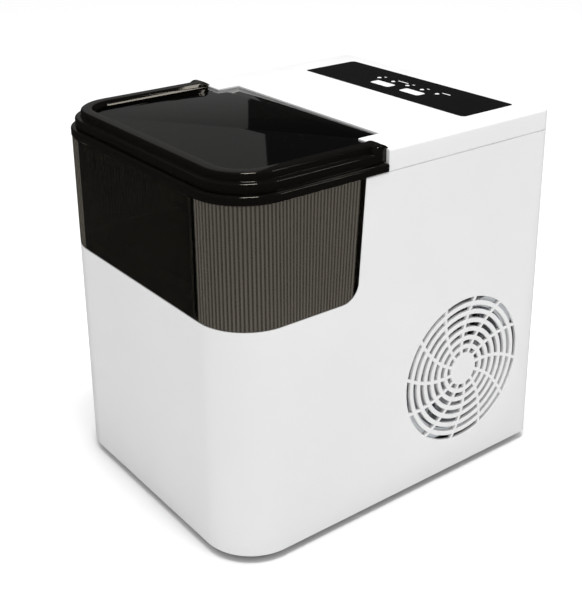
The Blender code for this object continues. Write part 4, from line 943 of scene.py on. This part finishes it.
def make_basket():
    rear, lip, overhang = basket_high.y, 11.0, 7
    front, half = basket_low.y + overhang, basket_high.x - lip
    floor_z, rim_z = basket_low.z, WINDOW_BOTTOM

    def wall_plan(inset):
        return plan(half - inset, front + inset, rear - inset, max(22 - inset, 1), max(3 - inset, 0.4), 16, 4)

    def rim_plan(inset):
        return plan(half + lip - inset, front - overhang + inset, rear - inset, 30 - inset,
                    max(3 - inset, 0.4), 16, 4)

    basket = stack("ice_basket_bin", wall_plan, soft_edges(floor_z, basket_high.z, 0.9), PALE)
    join(basket, stack("basket_rim", rim_plan, soft_edges(rim_z, rim_z + 2, 0.5)))
    inside = [(5.0, floor_z + 2), (2.6, floor_z + 3.2), (2.0, floor_z + 6), (2.0, basket_high.z - 0.8),
              (1.2, basket_high.z + 0.5)]
    floor_slots = [rounded_box((16 * k - 72, -92), (5, 46), 2.4) for k in range(10)]
    front_slots = [rounded_box((20 * k - 60, 134), (6, 26), 2.9) for k in range(7)]
    cut(basket, stack("basket_inside_cutter", wall_plan, inside),
        many_stacks("basket_floor_cutter", floor_slots, [(0, floor_z - 5), (0, floor_z + 8)]),
        many_stacks("basket_front_cutter", front_slots, [(0, front - 5), (0, front + 8)], axis="Y"))
    settle(basket, "ice_basket", "pale_plastic", "ice_basket")


def make_back_fittings():
    for number in range(1, 5):
        node = f"panel_screw_{number}"
        low, high = node_box(node)
        x, z = node_centre(node, "xz")
        head = high.x - x
        profile = [(1.5, low.y), (1.5, high.y - 1.1), (head, high.y - 1.1), (head, high.y - 0.6),
                   (head - 0.7, high.y - 0.2), (0.3, high.y)]
        screw = turned(f"screw_{number}", profile, (x, 0, z), STEEL, axis="Y", steps=36)
        arms = [block(f"cross_{number}_{k}", (x - a, high.y - 0.9, z - b), (x + a, high.y + 2, z + b),
                      edge=0.05) for k, (a, b) in enumerate(((1.9, 0.35), (0.35, 1.9)))]
        cut(screw, *arms)
        settle(screw, "housing", "steel", node)

    low, high = node_box("drain_plug")
    (x, z), end = node_centre("drain_plug", "xz"), high.y
    profile = [(4.8, low.y), (4.8, end - 6.4), (9.3, end - 6.4), (9.3, end - 1.2), (8.9, end - 0.4),
               (8.2, end), (0.2, end)]
    plug = turned("drain_plug_knob", profile, (x, 0, z), GREY, axis="Y", steps=56)
    grips = [rounded_box((x + 5.0 * side, z), (4.4, 9), 1.8, 6) for side in (-1, 1)]
    cut(plug, many_stacks("plug_grip_cutter", grips,
                          [(0.3, end - 3.9), (0, end - 3.4), (0, end + 3)], axis="Y"))
    settle(plug, "drain_plug", "grey_plastic", "drain_plug")

    low, high = node_box("power_inlet")
    x, z = node_centre("power_inlet", "xz")
    inlet = stack("power_inlet_socket", rounded_box((x, z), (24, 18), 4.0, 10),
                  soft_edges(low.y, high.y, 0.6), BLACK, axis="Y")
    join(inlet, stack("inlet_flange", rounded_box((x, z), (32, 26), 4.0, 10),
                      soft_edges(143, 145.9, 0.3), axis="Y"))
    cut(inlet, stack("inlet_socket_cutter", rounded_box((x, z), (18, 10), 4.8, 12),
                     [(0.2, 134), (0, 134.4), (0, high.y - 0.5), (-0.6, high.y + 0.2)], axis="Y"))
    for number, side in enumerate((-1, 1)):
        pin = turned(f"inlet_pin_{number + 1}", [(1.2, 133.5), (1.2, 145.4), (0.9, 145.9), (0.2, 146)],
                     (x + 4.3 * side, 0, z), STEEL, axis="Y", steps=24)
        settle(pin, "housing", "steel")
    settle(inlet, "housing", "black_plastic", "power_inlet")


make_evaporator()
make_basket()
make_back_fittings()
make_housing()
make_rear_panel()
make_top_cover()
make_control_panel()
make_feet()
make_window_wall()
make_window_collar()
make_lid()


# ---------------------------------------------------------------- stage, lights and camera
FLOOR_PAINT = (0.96, 0.96, 0.96)
ROOM_STRENGTH = 0.69  # what lights matt faces
MIRRORED_ROOM = (0.02, 0.02, 0.02, 1)  # what polished faces mirror
BACKDROP_STRENGTH = 1.05  # what the camera sees behind the object
PURE_WHITE = (1, 1, 1, 1)

CAMERA_PLACE = (636.7, -491.5, 510.6)
CAMERA_TARGET = (-61.8, 39.4, 182.9)
CAMERA_ROLL = -0.454
CAMERA_LENS = 65.31
CAMERA_SENSOR = 36.0
CAMERA_SHIFT = (-0.0038, -0.1617)


def stage_material(name, colour):
    made, tree, shader, place = new_material(name)
    soft = add_ramp(tree, add_noise(tree, place, 0.8, 2.0), [(0.3, shade(colour, 0.995)), (0.7, colour)])
    tree.links.new(soft, shader.inputs["Base Color"])
    shader.inputs["Roughness"].default_value = 0.9
    shader.inputs["Specular IOR Level"].default_value = 0.0
    return made


def make_floor():
    reach = 12000.0
    steps = 64
    turn = [2 * math.pi * k / steps for k in range(steps)]
    ring = [(reach * math.cos(a), reach * math.sin(a), 0.0) for a in turn]
    paint = stage_material("studio_floor_paint", FLOOR_PAINT)
    floor = add_mesh("studio_floor", ring, [tuple(range(steps))], paint)
    floor.visible_glossy = False


def make_world():
    """Even white light for matt faces and the background. Polished faces mirror a dark room."""
    world = bpy.data.worlds.new("studio")
    bpy.context.scene.world = world
    world.use_nodes = True
    tree = world.node_tree
    white = tree.nodes["Background"]
    white.inputs["Color"].default_value = PURE_WHITE
    white.inputs["Strength"].default_value = ROOM_STRENGTH
    dark = tree.nodes.new("ShaderNodeBackground")
    dark.inputs["Color"].default_value = MIRRORED_ROOM
    bright = tree.nodes.new("ShaderNodeBackground")
    bright.inputs["Color"].default_value = PURE_WHITE
    bright.inputs["Strength"].default_value = BACKDROP_STRENGTH
    rays = tree.nodes.new("ShaderNodeLightPath")
    for_glossy = tree.nodes.new("ShaderNodeMixShader")
    for_camera = tree.nodes.new("ShaderNodeMixShader")
    tree.links.new(rays.outputs["Is Glossy Ray"], for_glossy.inputs[0])
    tree.links.new(white.outputs[0], for_glossy.inputs[1])
    tree.links.new(dark.outputs[0], for_glossy.inputs[2])
    tree.links.new(rays.outputs["Is Camera Ray"], for_camera.inputs[0])
    tree.links.new(for_glossy.outputs[0], for_camera.inputs[1])
    tree.links.new(bright.outputs[0], for_camera.inputs[2])
    tree.links.new(for_camera.outputs[0], tree.nodes["World Output"].inputs["Surface"])


def add_softbox(name, place, target, size, watts):
    """A rectangular soft light that polished faces mirror but the camera doesn't see."""
    light = bpy.data.lights.new(name, "AREA")
    light.shape = "RECTANGLE"
    light.size = size[0] * MM
    light.size_y = size[1] * MM
    light.energy = watts
    holder = bpy.data.objects.new(name, light)
    holder.location = Vector(place) * MM
    holder.rotation_euler = (Vector(target) - Vector(place)).to_track_quat("-Z", "Y").to_euler()
    holder.visible_camera = False
    bpy.context.scene.collection.objects.link(holder)


def add_ceiling_light():
    """A wide, even light from straight above, which no polished face mirrors."""
    light = bpy.data.lights.new("ceiling_light", "SUN")
    light.energy = 0.95
    light.angle = math.radians(40)
    holder = bpy.data.objects.new("ceiling_light", light)
    holder.visible_glossy = False
    bpy.context.scene.collection.objects.link(holder)


def make_camera():
    """The photograph's viewing angle, solved from the housing's straight edges."""
    camera = bpy.data.cameras.new("camera")
    camera.lens = CAMERA_LENS
    camera.sensor_width = CAMERA_SENSOR
    camera.shift_x, camera.shift_y = CAMERA_SHIFT
    camera.clip_start = 0.01
    camera.clip_end = 100.0
    holder = bpy.data.objects.new("camera", camera)
    place, target = Vector(CAMERA_PLACE), Vector(CAMERA_TARGET)
    holder.location = place * MM
    roll = math.radians(CAMERA_ROLL)
    holder.rotation_mode = "QUATERNION"
    look = (target - place).to_track_quat("-Z", "Y")
    holder.rotation_quaternion = look @ Matrix.Rotation(roll, 3, "Z").to_quaternion()
    bpy.context.scene.collection.objects.link(holder)
    bpy.context.scene.camera = holder


make_floor()
make_world()
add_softbox("overhead_softbox", (250, -100, 1500), (0, 0, 200), (380, 380), 9.0)
add_softbox("side_softbox", (1165, 741, 879), (-103, -36, 288), (240, 150), 0.85)
add_softbox("left_softbox", (-1028, 436, 700), (0, -60, 286), (450, 1100), 0.20)
add_ceiling_light()
make_camera()
bpy.context.scene.view_settings.view_transform = "Standard"
